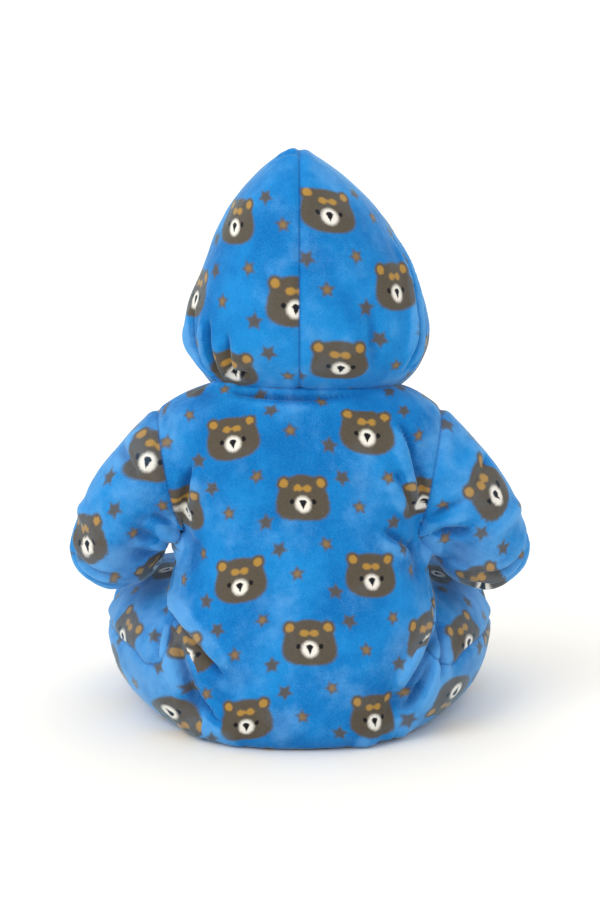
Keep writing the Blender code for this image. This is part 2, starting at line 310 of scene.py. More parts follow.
def profileDistance(profile, points):   # in the side view; negative behind the line
    line = smoothRows(profile, 6)
    best = np.full(len(points), 9.0)
    sign = np.ones(len(points))
    flat = points[:, 1:3]
    for start, end in zip(line, line[1:]):
        along = end - start
        share = np.clip(((flat - start) @ along) / (along @ along), 0, 1)
        away = flat - start - share[:, None] * along
        distance = np.hypot(away[:, 0], away[:, 1])
        turn = along[0] * away[:, 1] - along[1] * away[:, 0]
        nearer = distance < best
        best[nearer] = distance[nearer]
        sign[nearer] = np.sign(turn[nearer])
    return -best * sign


def armholeDistance(side, points):
    slope = (armhole["topX"] - armhole["lowX"]) / (armhole["topZ"] - armhole["lowZ"])
    seamX = armhole["lowX"] + slope * np.maximum(points[:, 2] - armhole["lowZ"], 0)
    return side * points[:, 0] - seamX


def distancesTo(samples, points):
    if not samples:
        return np.full(len(points), 1.0)
    tree = KDTree(len(samples))
    for index, place in enumerate(samples):
        tree.insert(place, index)
    tree.balance()
    return np.array([tree.find(Vector(p))[2] for p in points])


# cutting a mesh along any line

sewn = 1    # the kind of an edge where two panels meet


def vertPoints(shape):
    return np.array([v.co for v in shape.verts])


def faceCentres(shape):
    return np.array([face.calc_center_median() for face in shape.faces])


def facesWhere(shape, test):   # the faces whose centres pass a test, which takes them all at once
    return [face for face, passed in zip(list(shape.faces), test(faceCentres(shape))) if passed]


def cutAlong(shape, values, faces):   # splits the faces where values, one a vertex, pass zero
    home = shape.verts.layers.float_vector["home"]
    for vert, value in zip(shape.verts, values):
        vert[home] = vert.co
        vert.co.x = value
    edges = {edge for face in faces for edge in face.edges}
    verts = {vert for face in faces for vert in face.verts}
    made = bmesh.ops.bisect_plane(shape, geom=[*faces, *edges, *verts], dist=seams["snap"],
                                  plane_co=(0, 0, 0), plane_no=(1, 0, 0))
    for vert in shape.verts:
        vert.co = vert[home]
    shape.verts.ensure_lookup_table()
    shape.faces.ensure_lookup_table()
    return [item for item in made["geom_cut"] if isinstance(item, bmesh.types.BMEdge)]


def cutAway(shape, distance, among):   # cuts where distance is zero and removes what lies below it
    cut = cutAlong(shape, distance(vertPoints(shape)), facesWhere(shape, among))
    gone = facesWhere(shape, lambda c: (distance(c) < 0) & among(c))
    bmesh.ops.delete(shape, geom=gone, context="FACES")
    return cut


def sew(shape, edges):
    kind = shape.edges.layers.int["kind"]
    for edge in edges:
        if edge.is_valid:
            edge[kind] = sewn


def panelFrom(shape, start):   # faces reached from start without crossing a sewn edge
    kind = shape.edges.layers.int["kind"]
    found = {start}
    waiting = [start]
    while waiting:
        for edge in waiting.pop().edges:
            if edge[kind] != sewn:
                for other in edge.link_faces:
                    if other not in found:
                        found.add(other)
                        waiting.append(other)
    return found


# pattern coordinates on a section surface, for the print

class Pattern:   # a cut piece rolled round the body, a limb or the hood, with its own length units
    def __init__(self, grid, limb=False, front=False):
        self.grid = grid
        self.rowCount, self.columns = grid.shape[:2]
        closed = np.concatenate([grid, grid[:, :1]], axis=1)
        if limb:
            around = self.turnsRoundPath(closed)
        else:
            steps = np.linalg.norm(np.diff(closed, axis=1), axis=2)
            around = np.concatenate([np.zeros((self.rowCount, 1)), np.cumsum(steps, axis=1)], axis=1)
            middle = self.columns // 2
            around -= around[:, middle:middle + 1]
        self.spans = np.abs(around[:, -1] - around[:, 0]).tolist()
        if front:   # measured from the front's centre instead of the back's
            around[:, :middle] += around[:, -1:]
            around[:, middle:] -= around[:, -1:].copy()
        lengths = np.linalg.norm(np.diff(closed, axis=0), axis=2)
        if limb:
            lengths[:] = np.mean(lengths, axis=1, keepdims=True)
        onward = np.concatenate([np.zeros((1, self.columns + 1)), np.cumsum(lengths, axis=0)], axis=0)
        self.v = -onward if limb else onward     # the print stands towards the shoulder, hip or crown
        self.u = around
        self.spots = [[Vector(p) for p in row] for row in grid]
        faces = gridFaces(self.rowCount, self.columns)
        self.tree = BVHTree.FromPolygons([p for row in self.spots for p in row], faces)
        self.u, self.v = (self.u * self.rightHanded()).tolist(), self.v.tolist()

    def turnsRoundPath(self, closed):   # arc lengths measured in a frame that doesn't twist along the path
        centre = self.grid.mean(axis=1)
        along = np.gradient(centre, axis=0)
        along /= np.linalg.norm(along, axis=1, keepdims=True)
        across = np.array([0.0, 1.0, 0.0])
        rows = []
        for index in range(self.rowCount):
            across = across - along[index] * (across @ along[index])
            across /= np.linalg.norm(across)
            third = np.cross(along[index], across)
            away = closed[index] - centre[index]
            angle = np.unwrap(np.arctan2(away @ third, away @ across))
            if rows:
                angle = angle + 2 * np.pi * np.round((rows[-1][0] - angle[0]) / (2 * np.pi))
            rows.append(angle)
        middle = self.rowCount // 3
        radius = np.mean(np.linalg.norm(closed[middle] - centre[middle], axis=1))
        return np.array(rows) * radius

    def rightHanded(self):   # the print isn't mirrored when seen from outside
        r, c = self.rowCount // 2, self.columns // 2 + 2
        place = self.grid[r, c]
        alongU = self.grid[r, c + 1] - place
        alongV = (self.grid[r + 1, c] - place) * np.sign(self.v[r + 1, c] - self.v[r, c])
        alongU *= np.sign(self.u[r, c + 1] - self.u[r, c])
        outward = place - self.grid[r].mean(axis=0)
        return 1.0 if np.cross(alongU, alongV) @ outward > 0 else -1.0

    def place(self, point):   # pattern coordinates, and the length once round there
        face = self.tree.find_nearest(point)[2]
        r, c = divmod(face, self.columns)
        corner = self.spots[r][c]
        edgeU = self.spots[r][(c + 1) % self.columns] - corner
        edgeV = self.spots[r + 1][c] - corner
        away = point - corner
        s, t = (min(max(away.dot(edge) / (edge.length_squared + 1e-12), 0.0), 1.0)
                for edge in (edgeU, edgeV))
        made = []
        for table in (self.u, self.v):
            low = table[r][c] * (1 - s) + table[r][c + 1] * s
            high = table[r + 1][c] * (1 - s) + table[r + 1][c + 1] * s
            made.append(low * (1 - t) + high * t)
        return made[0], made[1], self.spans[r]

    def setPrint(self, point, tilt, scale=1.0):   # a motif sits at this point, turned by tilt
        self.anchor = self.place(Vector(point))[:2]
        self.tilt, self.scale = tilt, scale

    def finished(self, u, v):
        x, y = (u - self.anchor[0]) / self.scale, (v - self.anchor[1]) / self.scale
        cos, sin = math.cos(self.tilt), math.sin(self.tilt)
        return (x * cos - y * sin, x * sin + y * cos)


# creases

# Each row is one crease pressed into the cloth, in millimetres; a negative depth is a soft ridge.
# columns: depth, width, lean (how much more the cloth swells on its right), then points along it
bodyCreases = (
    # under the hood, a soft roll along the neck seam
    (4.2, 5.2, 0, (72, 34, 317), (47, 56, 316.5), (11, 66, 316), (-20, 66, 316), (-62, 52, 315.5)),
    (-3, 7, 0, (80, 20, 318), (68, 36, 320), (54, 50, 323)),
    # drag lines of the back
    (4.2, 5.2, -0.3, (96, 66, 258), (99, 58, 240), (102, 52, 222), (106, 42, 202)),
    (4.8, 5.2, 0.6, (-89, 74, 302), (-101, 66, 265), (-107, 55, 232), (-110, 44, 204)),
    (4.4, 5.2, 0.4, (-86, 80, 250), (-93, 72, 238), (-99, 64, 224), (-105, 53, 206)),
    (4, 5.6, 0.3, (-78, 88, 200), (-92, 78, 190), (-105, 60, 180), (-114, 38, 170)),
    # soft swells at the waist, under the arms
    (-8, 13, 0, (110, 40, 204), (112, 36, 188), (115, 30, 174), (119, 24, 158)),
    (-3.8, 6.2, 0, (107, 36, 197), (109, 32, 190), (111, 28, 184)),
    (-9, 14, 0, (-110, 34, 200), (-114, 26, 186), (-117, 20, 170), (-120, 16, 150)),
    # the seat spreads where it rests
    (-6, 18, 0, (108, 44, 18), (92, 66, 12), (74, 85, 8), (50, 98, 6)),
    (-5, 18, 0, (-104, 50, 16), (-88, 70, 10), (-68, 88, 7), (-46, 100, 5)),
    (-2.4, 12, 0, (96, 60, 18), (86, 74, 12), (76, 84, 7)),
    (-4, 12, 0, (-96, 58, 22), (-86, 73, 13), (-74, 86, 7)),
    # left hip
    (6, 5.5, -0.6, (123, 12, 118), (112, 58, 110), (98, 78, 99), (82, 94, 83), (66, 103, 68)),
    (7, 6, 0.2, (114, 55, 106), (109, 68, 89), (105, 74, 74), (100, 80, 58), (96, 80, 44), (88, 78, 28)),
    (4.2, 4.8, -0.5, (96, 80, 55), (89, 85, 41), (79, 90, 30), (68, 96, 22)),
    (3, 4.2, 0, (123, 40, 101), (126, 52, 85), (127, 57, 70)),
    (2.6, 4, 0, (113, 55, 108), (115, 58, 96), (113, 64, 86)),
    # right hip
    (6.2, 5.5, 0.6, (-123, 20, 112), (-120, 48, 95), (-112, 68, 81), (-103, 78, 66), (-96, 86, 53),
     (-89, 92, 43)),
    (6.4, 6, -0.2, (-119, 62, 77), (-116, 71, 66), (-110, 77, 53), (-102, 78, 39), (-92, 82, 27)),
    (4.8, 4.5, 0, (-126, 30, 104), (-128, 45, 92), (-128, 54, 80), (-127, 60, 66), (-123, 66, 54)),
    # left sleeve
    (4.5, 5, 0.3, (133, 47, 206), (121, 40, 198), (113, 20, 190)),
    (-2.6, 5, 0, (150, 40, 176), (134, 33, 171), (121, 2, 168)),
    (3, 5, 0, (146, 44, 186), (133, 38, 180), (121, 12, 177)),
    (-2.4, 5.5, 0, (199, -10, 204), (193, 28, 194), (177, 40, 174)),
    (4.5, 4.5, 0.3, (209, 3, 170), (203, 4, 150), (189, 10, 136), (172, 14, 131), (155, 12, 134)),
    (4, 4.8, 0, (209, -6, 186), (207, 10, 163), (193, 22, 148), (175, 27, 142), (156, 26, 147)),
    (4.2, 8, -0.4, (163, 12, 262), (152, 34, 252), (143, 48, 236)),
    # right sleeve
    (4.5, 5, 0, (-115, 20, 186), (-132, 38, 187), (-155, 46, 190)),
    (3.4, 5.8, 0, (-116, 35, 199), (-132, 49, 211), (-151, 49, 220)),
    (3.2, 8, 0.2, (-170, 10, 250), (-162, 34, 241), (-156, 46, 228)),
    (4.5, 4.5, -0.3, (-209, 0, 170), (-202, 6, 150), (-189, 8, 136), (-174, 10, 130), (-156, 16, 134)),
    (4.2, 4.8, 0, (-209, -10, 184), (-206, 12, 163), (-191, 22, 148), (-174, 27, 142), (-150, 25, 146)),
    (-2.2, 6, 0, (-199, -10, 206), (-192, 30, 196), (-172, 42, 180)),
    # lap and belly, in front
    (5.8, 8, 0, (16, -112, 52), (50, -102, 88), (88, -84, 122), (112, -46, 134)),
    (5.8, 8, 0, (-16, -112, 52), (-50, -102, 88), (-90, -84, 122), (-113, -46, 134)),
    (3.4, 7, 0.2, (30, -98, 128), (64, -92, 138), (98, -66, 152)),
    (3, 7, 0.2, (-34, -98, 120), (-66, -92, 132), (-98, -66, 140)),
    (2.6, 7.5, 0, (40, -88, 196), (72, -80, 206), (102, -50, 212)),
    (2.6, 7.5, 0, (-46, -88, 186), (-76, -80, 200), (-102, -52, 208)),
    (2.8, 7, 0, (62, -66, 290), (90, -68, 262), (104, -62, 230)),
    (2.8, 7, 0, (-62, -66, 290), (-90, -68, 262), (-104, -62, 230)),
    # knees and shins
    (5, 7, 0, (62, -118, 92), (78, -130, 110), (100, -134, 118)),
    (4.4, 6, 0, (60, -140, 70), (74, -150, 92), (94, -156, 108)),
    (3.6, 6.5, 0, (168, -90, 98), (180, -118, 70), (172, -142, 42)),
    (5, 7, 0, (-60, -120, 90), (-78, -134, 108), (-102, -138, 118)),
    (4, 6, 0, (-58, -146, 70), (-72, -158, 90), (-90, -166, 104)),
    (3.6, 6.5, 0, (-166, -86, 100), (-180, -112, 74), (-174, -138, 44)),
    (3.4, 6, 0, (52, -244, 78), (64, -226, 94), (58, -196, 92)),
    (3.4, 6, 0, (-50, -244, 76), (-62, -228, 92), (-56, -198, 92)),
    # inside of the elbows and along the forearms
    (4.4, 5.8, 0, (134, -30, 184), (148, -48, 196), (172, -50, 202)),
    (3.6, 5.6, 0, (126, -60, 160), (136, -72, 190), (162, -74, 202)),
    (3.2, 6, 0, (190, -100, 190), (204, -88, 166), (190, -78, 130)),
    (4.4, 5.8, 0, (-134, -30, 184), (-150, -50, 196), (-174, -46, 202)),
    (3.4, 5.6, 0, (-126, -66, 162), (-138, -80, 190), (-164, -84, 203)),
    (3.2, 6, 0, (-188, -110, 192), (-203, -96, 168), (-188, -86, 132)),
)
hoodCreases = (
    (6, 4.6, 0.5, (96, 20, 392), (100, 26, 372), (98, 29, 354), (89, 37, 338), (74, 42, 326)),
    (5.4, 4.6, 0.4, (82, 56, 386), (83, 56, 364), (79, 52, 342), (71, 45, 324)),
    (4.2, 5, 0.1, (64, 76, 376), (64, 71, 355), (62, 63, 338), (58, 54, 322)),
    (3.6, 4, 0, (59, 60, 333), (52, 66, 337), (45, 68, 335)),
    (6.2, 4.2, 0.5, (-82, 10, 452), (-95, 24, 420), (-101, 36, 396), (-104, 45, 374), (-101, 48, 355),
     (-91, 42, 334)),
    (5.2, 4.2, 0.5, (-90, -20, 444), (-103, 4, 412), (-109, 20, 386), (-111, 30, 364), (-106, 34, 346),
     (-96, 34, 333)),
    (3, 11, 0, (-58, 86, 402), (-63, 83, 384), (-63, 78, 360), (-60, 58, 331)),
    (2.8, 3, 0, (20, 0, 512), (10, 18, 518), (2, 24, 519)),
    (-2, 20, 0, (-80, -30, 470), (-100, -20, 432), (-112, -10, 402), (-118, -2, 374), (-112, 4, 342)),
    (-3, 15, 0, (94, -10, 420), (103, 0, 384), (105, 4, 358), (98, 10, 336)),
    (3.6, 6, 0, (94, -50, 420), (103, -46, 380), (96, -40, 340)),
    (3.6, 6, 0, (-104, -54, 414), (-114, -48, 376), (-104, -40, 338)),
)
pressing = {
    "depth": 1.3,           # all creases together
    "steps": 10,            # from one point to the next
    "fineFrom": 3.0,        # deeper creases, in millimetres, get halved facets
    "reach": 4.5,           # in crease widths, as the next ones are
    "troughWidth": 0.70, "troughPower": 1.6,
    "shoulder": 0.40, "shoulderAt": 1.9, "shoulderWidth": 1.25,    # the swell beside a trough
    "lapWidth": 3.0, "lapShift": 0.0008, "lapSoftness": 0.0023,
    "endShare": 0.32, "endPower": 1.4, "endLeft": 0.05,    # how a crease runs out
    "uneven": 0.16,
}
waves = {"height": 0.0009, "scale": 26.0, "fineHeight": 0.00035, "fineScale": 75.0, "hemReach": 0.01}


def creaseLine(marks, tree):   # a smooth line along a crease, laid on the cloth
    rows = smoothRows(metres(marks), pressing["steps"])
    return np.array([tree.find_nearest(Vector(p))[0] for p in rows])


def pressCreases(points, normals, creases, tree):
    offset = np.zeros(len(points))
    for depth, width, lean, *marks in creases:
        depth, width = depth / 1000, width / 1000
        line = creaseLine(marks, tree)
        reach = pressing["reach"] * width
        near = np.all((points > line.min(axis=0) - reach) & (points < line.max(axis=0) + reach), axis=1)
        away = points[near][:, None, :] - line[None, :, :]
        distances = np.linalg.norm(away, axis=2)
        closest = distances.argmin(axis=1)
        rows = np.arange(len(closest))
        distance = distances[rows, closest]
        tangent = np.gradient(line, axis=0)[closest]
        rightward = np.cross(tangent, normals[near])
        rightward /= np.linalg.norm(rightward, axis=1, keepdims=True) + 1e-9
        side = np.sum(away[rows, closest] * rightward, axis=1)
        share = closest / (len(line) - 1)
        ends = np.clip(np.minimum(share, 1 - share) / pressing["endShare"], pressing["endLeft"], 1)
        ends = np.sin(np.pi / 2 * ends) ** pressing["endPower"]
        uneven = 1 + pressing["uneven"] * np.sin(11 * share + 300 * line[0, 0])
        if depth < 0:
            trough = np.exp(-(distance / width) ** 2)
        else:
            trough = np.exp(-np.abs(distance / (pressing["troughWidth"] * width)) ** pressing["troughPower"])
        shoulder = distance - pressing["shoulderAt"] * width
        shoulder = np.exp(-(shoulder / (pressing["shoulderWidth"] * width)) ** 2)
        lap = lean * np.tanh((side + pressing["lapShift"]) / pressing["lapSoftness"])
        lap = lap * np.exp(-(distance / (pressing["lapWidth"] * width)) ** 2)
        form = pressing["shoulder"] * shoulder - trough + lap
        offset[near] += pressing["depth"] * ends * uneven * depth * form
    return offset


def softWaves(points):   # small uneven swells that any thick soft cloth has
    return np.array([
        waves["height"] * noise.noise(Vector(p) * waves["scale"])
        + waves["fineHeight"] * noise.noise(Vector(p) * waves["fineScale"] + Vector((7, 3, 1)))
        for p in points
    ])


def seamShape(seamGap, hemGap):   # how far the cloth rises or sinks beside seams and hems
    def swell(gap, height, at, width):
        return height * np.exp(-((gap - at) / width) ** 2)

    rise = swell(seamGap, -seams["grooveDepth"], 0, seams["grooveWidth"])
    rise += swell(seamGap, seams["puff"], seams["puffAt"], seams["puffWidth"])
    rise -= swell(hemGap, seams["hemGroove"], seams["hemWidth"], seams["hemGrooveWidth"])
    rise += swell(hemGap, seams["hemPuff"], seams["hemWidth"] / 2, seams["hemPuffWidth"])
    rise -= seams["hemRound"] * np.clip(1 - hemGap / seams["hemRoundWidth"], 0, 1) ** 2
    return rise


# the skin of body, legs and sleeves, with its seams

skinPlan = {"bodySteps": 5, "bodyColumns": 150, "limbSteps": 8, "limbColumns": 84, "pastEnd": 0.006}
hoodPlan = {"columns": 180, "steps": 8, "grid": 0.0024, "softening": 4, "tuckedIn": 0.0090,
            "gathered": 3}      # this many of its sections are gathered to the neck
prints = {   # where a motif of the print sits on each cut piece, its turn there, and its size
    "body": ((-0.003, 0.085, 0.229), -0.045),
    "front": ((0.040, -0.088, 0.230), 0.0),
    "legLeft": ((0.110, 0.060, 0.022), 0.9), "legRight": ((-0.140, 0.036, 0.030), -1.2),
    "thighLeft": ((0.160, -0.004, 0.080), -1.35), "thighRight": ((-0.152, 0.014, 0.080), 1.5),
    "sleeveLeft": ((0.132, 0.047, 0.259), -0.65), "sleeveRight": ((-0.171, 0.036, 0.225), -0.20),
    "hoodLeft": ((0.0555, 0.041, 0.468), 0.01, 1.09), "hoodRight": ((-0.0245, 0.066, 0.479), -0.02, 1.09),
}


def makePatterns():
    body = smoothRows(np.vstack([underside, bodySections]), skinPlan["bodySteps"])
    body = levelGrid(body, skinPlan["bodyColumns"])
    made = {"body": Pattern(body), "front": Pattern(body, front=True)}
    hood = levelGrid(smoothRows(hoodSections, hoodPlan["steps"]), hoodPlan["columns"])
    gathered = hoodPlan["steps"] * hoodPlan["gathered"]
    for word, side in (("Left", 1), ("Right", -1)):
        for limb, sections in (("leg", legSections), ("sleeve", sleeveSections)):
            rows = smoothRows(sections, skinPlan["limbSteps"])
            onward = rows[-1, :3] - rows[-2, :3]
            onward *= skinPlan["pastEnd"] / np.linalg.norm(onward)
            rows = np.vstack([rows, np.concatenate([rows[-1, :3] + onward, rows[-1, 3:]])])
            grid = limbGrid(rows, skinPlan["limbColumns"], side, skinPlan["limbSteps"])
            made[limb + word] = Pattern(grid, limb=True)
        made["thigh" + word] = copy.copy(made["leg" + word])   # the front's part of the same leg
        made["hood" + word] = Pattern(hood)
        made["hood" + word].u[:gathered] = [made["hood" + word].u[gathered]] * gathered
    for name, place in prints.items():
        made[name].setPrint(*place)
    return made


def makeSkin(names, grid, softening):   # one closed soft skin over the named surfaces
    made = [newPiece(n, patterns[n].grid.reshape(-1, 3), closedFaces(*patterns[n].grid.shape[:2]))
            for n in names]
    only(*made)
    if len(made) > 1:
        bpy.ops.object.join()
    applyModifier(made[0], "REMESH", mode="VOXEL", voxel_size=grid)
    applyModifier(made[0], "SMOOTH", factor=0.5, iterations=softening)
    print("skin made,", len(made[0].data.vertices), "points")
    return made[0]


def refined(skin, creases, gap):   # the skin as a bmesh, its faces halved near creases and seams
    shape = bmesh.new()
    shape.from_mesh(skin.data)
    bpy.data.objects.remove(skin, do_unlink=True)
    tree = BVHTree.FromBMesh(shape)
    samples = []
    for depth, _, _, *marks in creases:
        if depth > pressing["fineFrom"]:
            samples += [Vector(p) for p in creaseLine(marks, tree)]
    near = facesWhere(shape, lambda c: np.minimum(distancesTo(samples, c), gap(c)) < garment["fineReach"])
    edges = list({edge for face in near for edge in face.edges})
    bmesh.ops.subdivide_edges(shape, edges=edges, cuts=1, use_grid_fill=True)
    print("refined to", len(shape.faces), "faces")
    shape.verts.layers.float_vector.new("home")
    shape.edges.layers.int.new("kind")
    return shape


def limbEnd(sections, side):   # centre and direction of a cuff or ankle
    last, before = sections[-1][:3], sections[-2][:3]
    along = (last - before) / np.linalg.norm(last - before)
    mirror = np.array([side, 1, 1])
    return last * mirror, along * mirror


def seamsGap(points):   # about how far points are from where seams will be cut
    x, y, z = points.T
    profile = profileDistance(sideSeam, points)
    armholes = np.minimum(*(np.abs(armholeDistance(side, points)) for side in (1, -1)))
    shoulder = (z > armhole["onlyAbove"]) & (np.abs(x) > borders["shoulderX"])
    outseam = (np.abs(x) < borders["outseamX"]) | (z < borders["sleeveZ"])
    return np.minimum.reduce([
        np.where(shoulder, armholes, 1),
        np.where(outseam, np.abs(profile), 1),
        np.where(profile > 0, np.abs(x), 1),
        np.where(z > borders["neck"], np.abs(levelDistance(hoodTable, points)), 1),
    ])


def armFaces(shape):   # all that hangs together with a cuff
    found = set()
    for side in (1, -1):
        cuff = Vector(limbEnd(sleeveSections, side)[0])
        found |= panelFrom(shape, min(shape.faces, key=lambda f: (f.calc_center_median() - cuff).length))
    return found


def cutSeams(shape):
    # cuffs and ankles
    for side in (1, -1):
        for sections in (legSections, sleeveSections):
            centre, along = limbEnd(sections, side)

            def past(reach):   # faces of this limb's end, from reach before the cut
                return facesWhere(shape, lambda c: (np.linalg.norm(c - centre, axis=1) < borders["endReach"])
                                  & ((c - centre) @ along > -reach) & (c[:, 0] * side > 0))

            cutAlong(shape, (vertPoints(shape) - centre) @ along, past(borders["endBefore"]))
            bmesh.ops.delete(shape, geom=past(0.0), context="FACES")
    # neck: everything inside the hood goes
    sew(shape, cutAway(shape, lambda p: levelDistance(hoodTable, p) + seams["tuckedIn"],
                       lambda c: c[:, 2] > borders["neck"]))
    # armholes
    for side in (1, -1):
        shoulder = facesWhere(shape, lambda c: (c[:, 2] > armhole["onlyAbove"])
                              & (c[:, 0] * side > borders["shoulderX"]) & (c[:, 1] > borders["shoulderY"]))
        sew(shape, cutAlong(shape, armholeDistance(side, vertPoints(shape)), shoulder))
    # side seams, then the front opening
    arms = armFaces(shape)
    trunk = [f for f in shape.faces if f not in arms]
    sew(shape, cutAlong(shape, profileDistance(sideSeam, vertPoints(shape)), trunk))
    arms = armFaces(shape)
    front = [f for f in facesWhere(shape, lambda c: profileDistance(sideSeam, c) > 0) if f not in arms]
    sew(shape, cutAlong(shape, vertPoints(shape)[:, 0], front))
    # where the print of the legs meets that of the body
    body, *legs = (patterns[name].tree for name in ("body", "legLeft", "legRight"))
    gap = [min(leg.find_nearest(p)[3] for leg in legs) - body.find_nearest(p)[3]
           for p in map(Vector, vertPoints(shape))]
    cutAlong(shape, gap, facesWhere(shape, lambda c: c[:, 2] < borders["waist"]))


def sortPanels(shape):   # the name of each face's panel
    shape.faces.index_update()
    panel = {}
    for face in shape.faces:
        if face.index in panel:
            continue
        group = panelFrom(shape, face)
        centre = sum((f.calc_center_median() * f.calc_area() for f in group), Vector())
        centre /= sum(f.calc_area() for f in group)
        word = "Left" if centre.x > 0 else "Right"
        if abs(centre.x) > borders["sleeveX"] and centre.z > borders["sleeveZ"]:
            name = "sleeve" + word
        elif profileDistance(sideSeam, np.array([centre]))[0] < 0 or len(group) > borders["backFaces"]:
            name = "back"
        else:
            name = "front" + word
        panel.update((member.index, name + "Panel") for member in group)
    return [panel[index] for index in range(len(shape.faces))]


def patternAt(centre, panel):   # the pattern that a face takes its print from
    if panel.startswith("sleeve"):
        return panel[:-len("Panel")]
    word = "Left" if centre[0] > 0 else "Right"
    leg, body = (patterns[name].tree.find_nearest(Vector(centre))[3] for name in ("leg" + word, "body"))
    onLeg = leg < body and centre[2] < borders["waist"]
    if panel == "backPanel":
        return "leg" + word if onLeg else "body"
    return "thigh" + word if onLeg else "front"


def lineSamples(shape, chosen):   # points close together along the chosen edges
    samples = []
    for edge in shape.edges:
        if chosen(edge):
            start, end = edge.verts[0].co, edge.verts[1].co
            samples += [start.lerp(end, share) for share in (0, 0.25, 0.5, 0.75)] + [end]
    return samples


def extractPanel(name, faces, points, measures, finishedUv):
    used = sorted({vert.index for face in faces for vert in face.verts})
    place = {old: new for new, old in enumerate(used)}
    mesh = bpy.data.meshes.new(name)
    corners = [[place[v.index] for v in f.verts] for f in faces]
    mesh.from_pydata([tuple(points[i]) for i in used], [], corners)
    made = linked(name, mesh)
    uv = mesh.uv_layers.new(name="cloth")
    values = [value for face in faces for value in finishedUv(face)]
    uv.data.foreach_set("uv", np.array(values, np.float32).ravel())
    for word, gaps in measures.items():
        setValues(made, word, gaps[used])
    return made


def faceUv(patternOf, points):   # gives a function: the print's coordinates at a face's corners
    spots = [Vector(p) for p in points]
    known = {}

    def finishedUv(face):
        name = patternOf[face.index]
        pattern = patterns[name]
        indices = [vert.index for vert in face.verts]
        centreU, _, span = pattern.place(sum((spots[i] for i in indices), Vector()) / len(indices))
        made = []
        for i in indices:
            if (i, name) not in known:
                known[i, name] = pattern.place(spots[i])
            u, v, _ = known[i, name]
            made.append(pattern.finished(u - span * round((u - centreU) / span), v))
        return made

    return finishedUv


# presses creases, waves and seams into the cloth and parts its panels.  Creases fade to neckLeft of
# their depth within neckReach of the neck, and waves to hemLeft of theirs at a hem
def layOut(shape, panelOf, patternOf, creases, isNeck, neckReach, neckLeft, hemLeft):
    kind = shape.edges.layers.int["kind"]
    shape.verts.index_update()
    shape.faces.index_update()
    shape.normal_update()
    points = vertPoints(shape)
    normals = np.array([v.normal for v in shape.verts])
    neck = lineSamples(shape, lambda e: e.is_boundary and isNeck(e, points))
    hems = lineSamples(shape, lambda e: e.is_boundary and not isNeck(e, points))
    sewnLines = lineSamples(shape, lambda e: e[kind] == sewn and not e.is_boundary)
    neckGap, hemGap, seamGap = (distancesTo(lines, points) for lines in (neck, hems, sewnLines + neck))
    tree = BVHTree.FromPolygons(points.tolist(), [[v.index for v in f.verts] for f in shape.faces])
    rise = pressCreases(points, normals, creases, tree) * np.clip(neckGap / neckReach, neckLeft, 1)
    # lift keeps the creases' rise, from which the cloth's shader paints highlight on ridges and shade in
    # hollows
    measures = {"seamGap": seamGap, "hemGap": hemGap, "lift": rise.copy()}
    calm = np.clip(hemGap / waves["hemReach"], hemLeft, 1)
    rise += softWaves(points) * calm + seamShape(seamGap, hemGap)
    moved = points + normals * rise[:, None]
    moved[:, 2] = np.maximum(moved[:, 2], garment["seatLevel"])
    print("creases pressed")
    finishedUv = faceUv(patternOf, points)
    for name in sorted(set(panelOf)):
        faces = [f for f in shape.faces if panelOf[f.index] == name]
        panels[name] = extractPanel(name, faces, moved, measures, finishedUv)
        print(name, "laid out,", len(faces), "faces")
    shape.free()


patterns = makePatterns()
panels = {}


def makeBody():
    skin = makeSkin(("body", "legLeft", "sleeveLeft", "legRight", "sleeveRight"), garment["grid"],
                    garment["softening"])
    shape = refined(skin, bodyCreases, seamsGap)
    cutSeams(shape)
    print("seams cut")
    panelOf = sortPanels(shape)
    patternOf = [patternAt(centre, panel) for centre, panel in zip(faceCentres(shape), panelOf)]
    layOut(shape, panelOf, patternOf, bodyCreases, lambda e, p: e.verts[0].co.z > borders["nape"],
           neckReach=0.004, neckLeft=0, hemLeft=0.2)


def makeHood():
    skin = makeSkin(("hoodLeft",), hoodPlan["grid"], hoodPlan["softening"])
    shape = refined(skin, hoodCreases, lambda p: np.abs(p[:, 0]))
    cutAway(shape, lambda p: levelDistance(bodyTable, p) + hoodPlan["tuckedIn"],
            lambda c: c[:, 2] < borders["hoodBase"])
    cutAway(shape, lambda p: -profileDistance(faceEdge, p), lambda c: np.full(len(c), True))
    sew(shape, cutAlong(shape, vertPoints(shape)[:, 0], list(shape.faces)))
    patternOf = ["hoodLeft" if centre[0] > 0 else "hoodRight" for centre in faceCentres(shape)]
    base = levelDistance(bodyTable, vertPoints(shape)) < borders["hoodNeck"]
    layOut(shape, [name + "Panel" for name in patternOf], patternOf, hoodCreases,
           lambda e, p: base[e.verts[0].index], neckReach=0.006, neckLeft=0.25, hemLeft=1)


makeBody()
makeHood()


# stitches

stitchPlan = {
    "hem": {"pitch": 0.0034, "length": 0.0024, "radius": 0.00042, "lift": 0.0001},
    "seam": {"pitch": 0.0026, "length": 0.0013, "radius": 0.00030, "lift": -0.0002},
    "button": {"radius": 0.00042, "lift": 0.0001},
    "ring": 6, "profile": ((0.0, 0.35), (0.2, 0.9), (0.5, 1.0), (0.8, 0.9), (1.0, 0.35)),
    "insideHem": 0.0008,    # from a hem's inner edge
    "shortest": 6,          # lines with fewer points get no stitches
    "hoodSeam": (0.33, 0.512), "seamReach": 0.0004,     # from and to this height, this near the middle
}


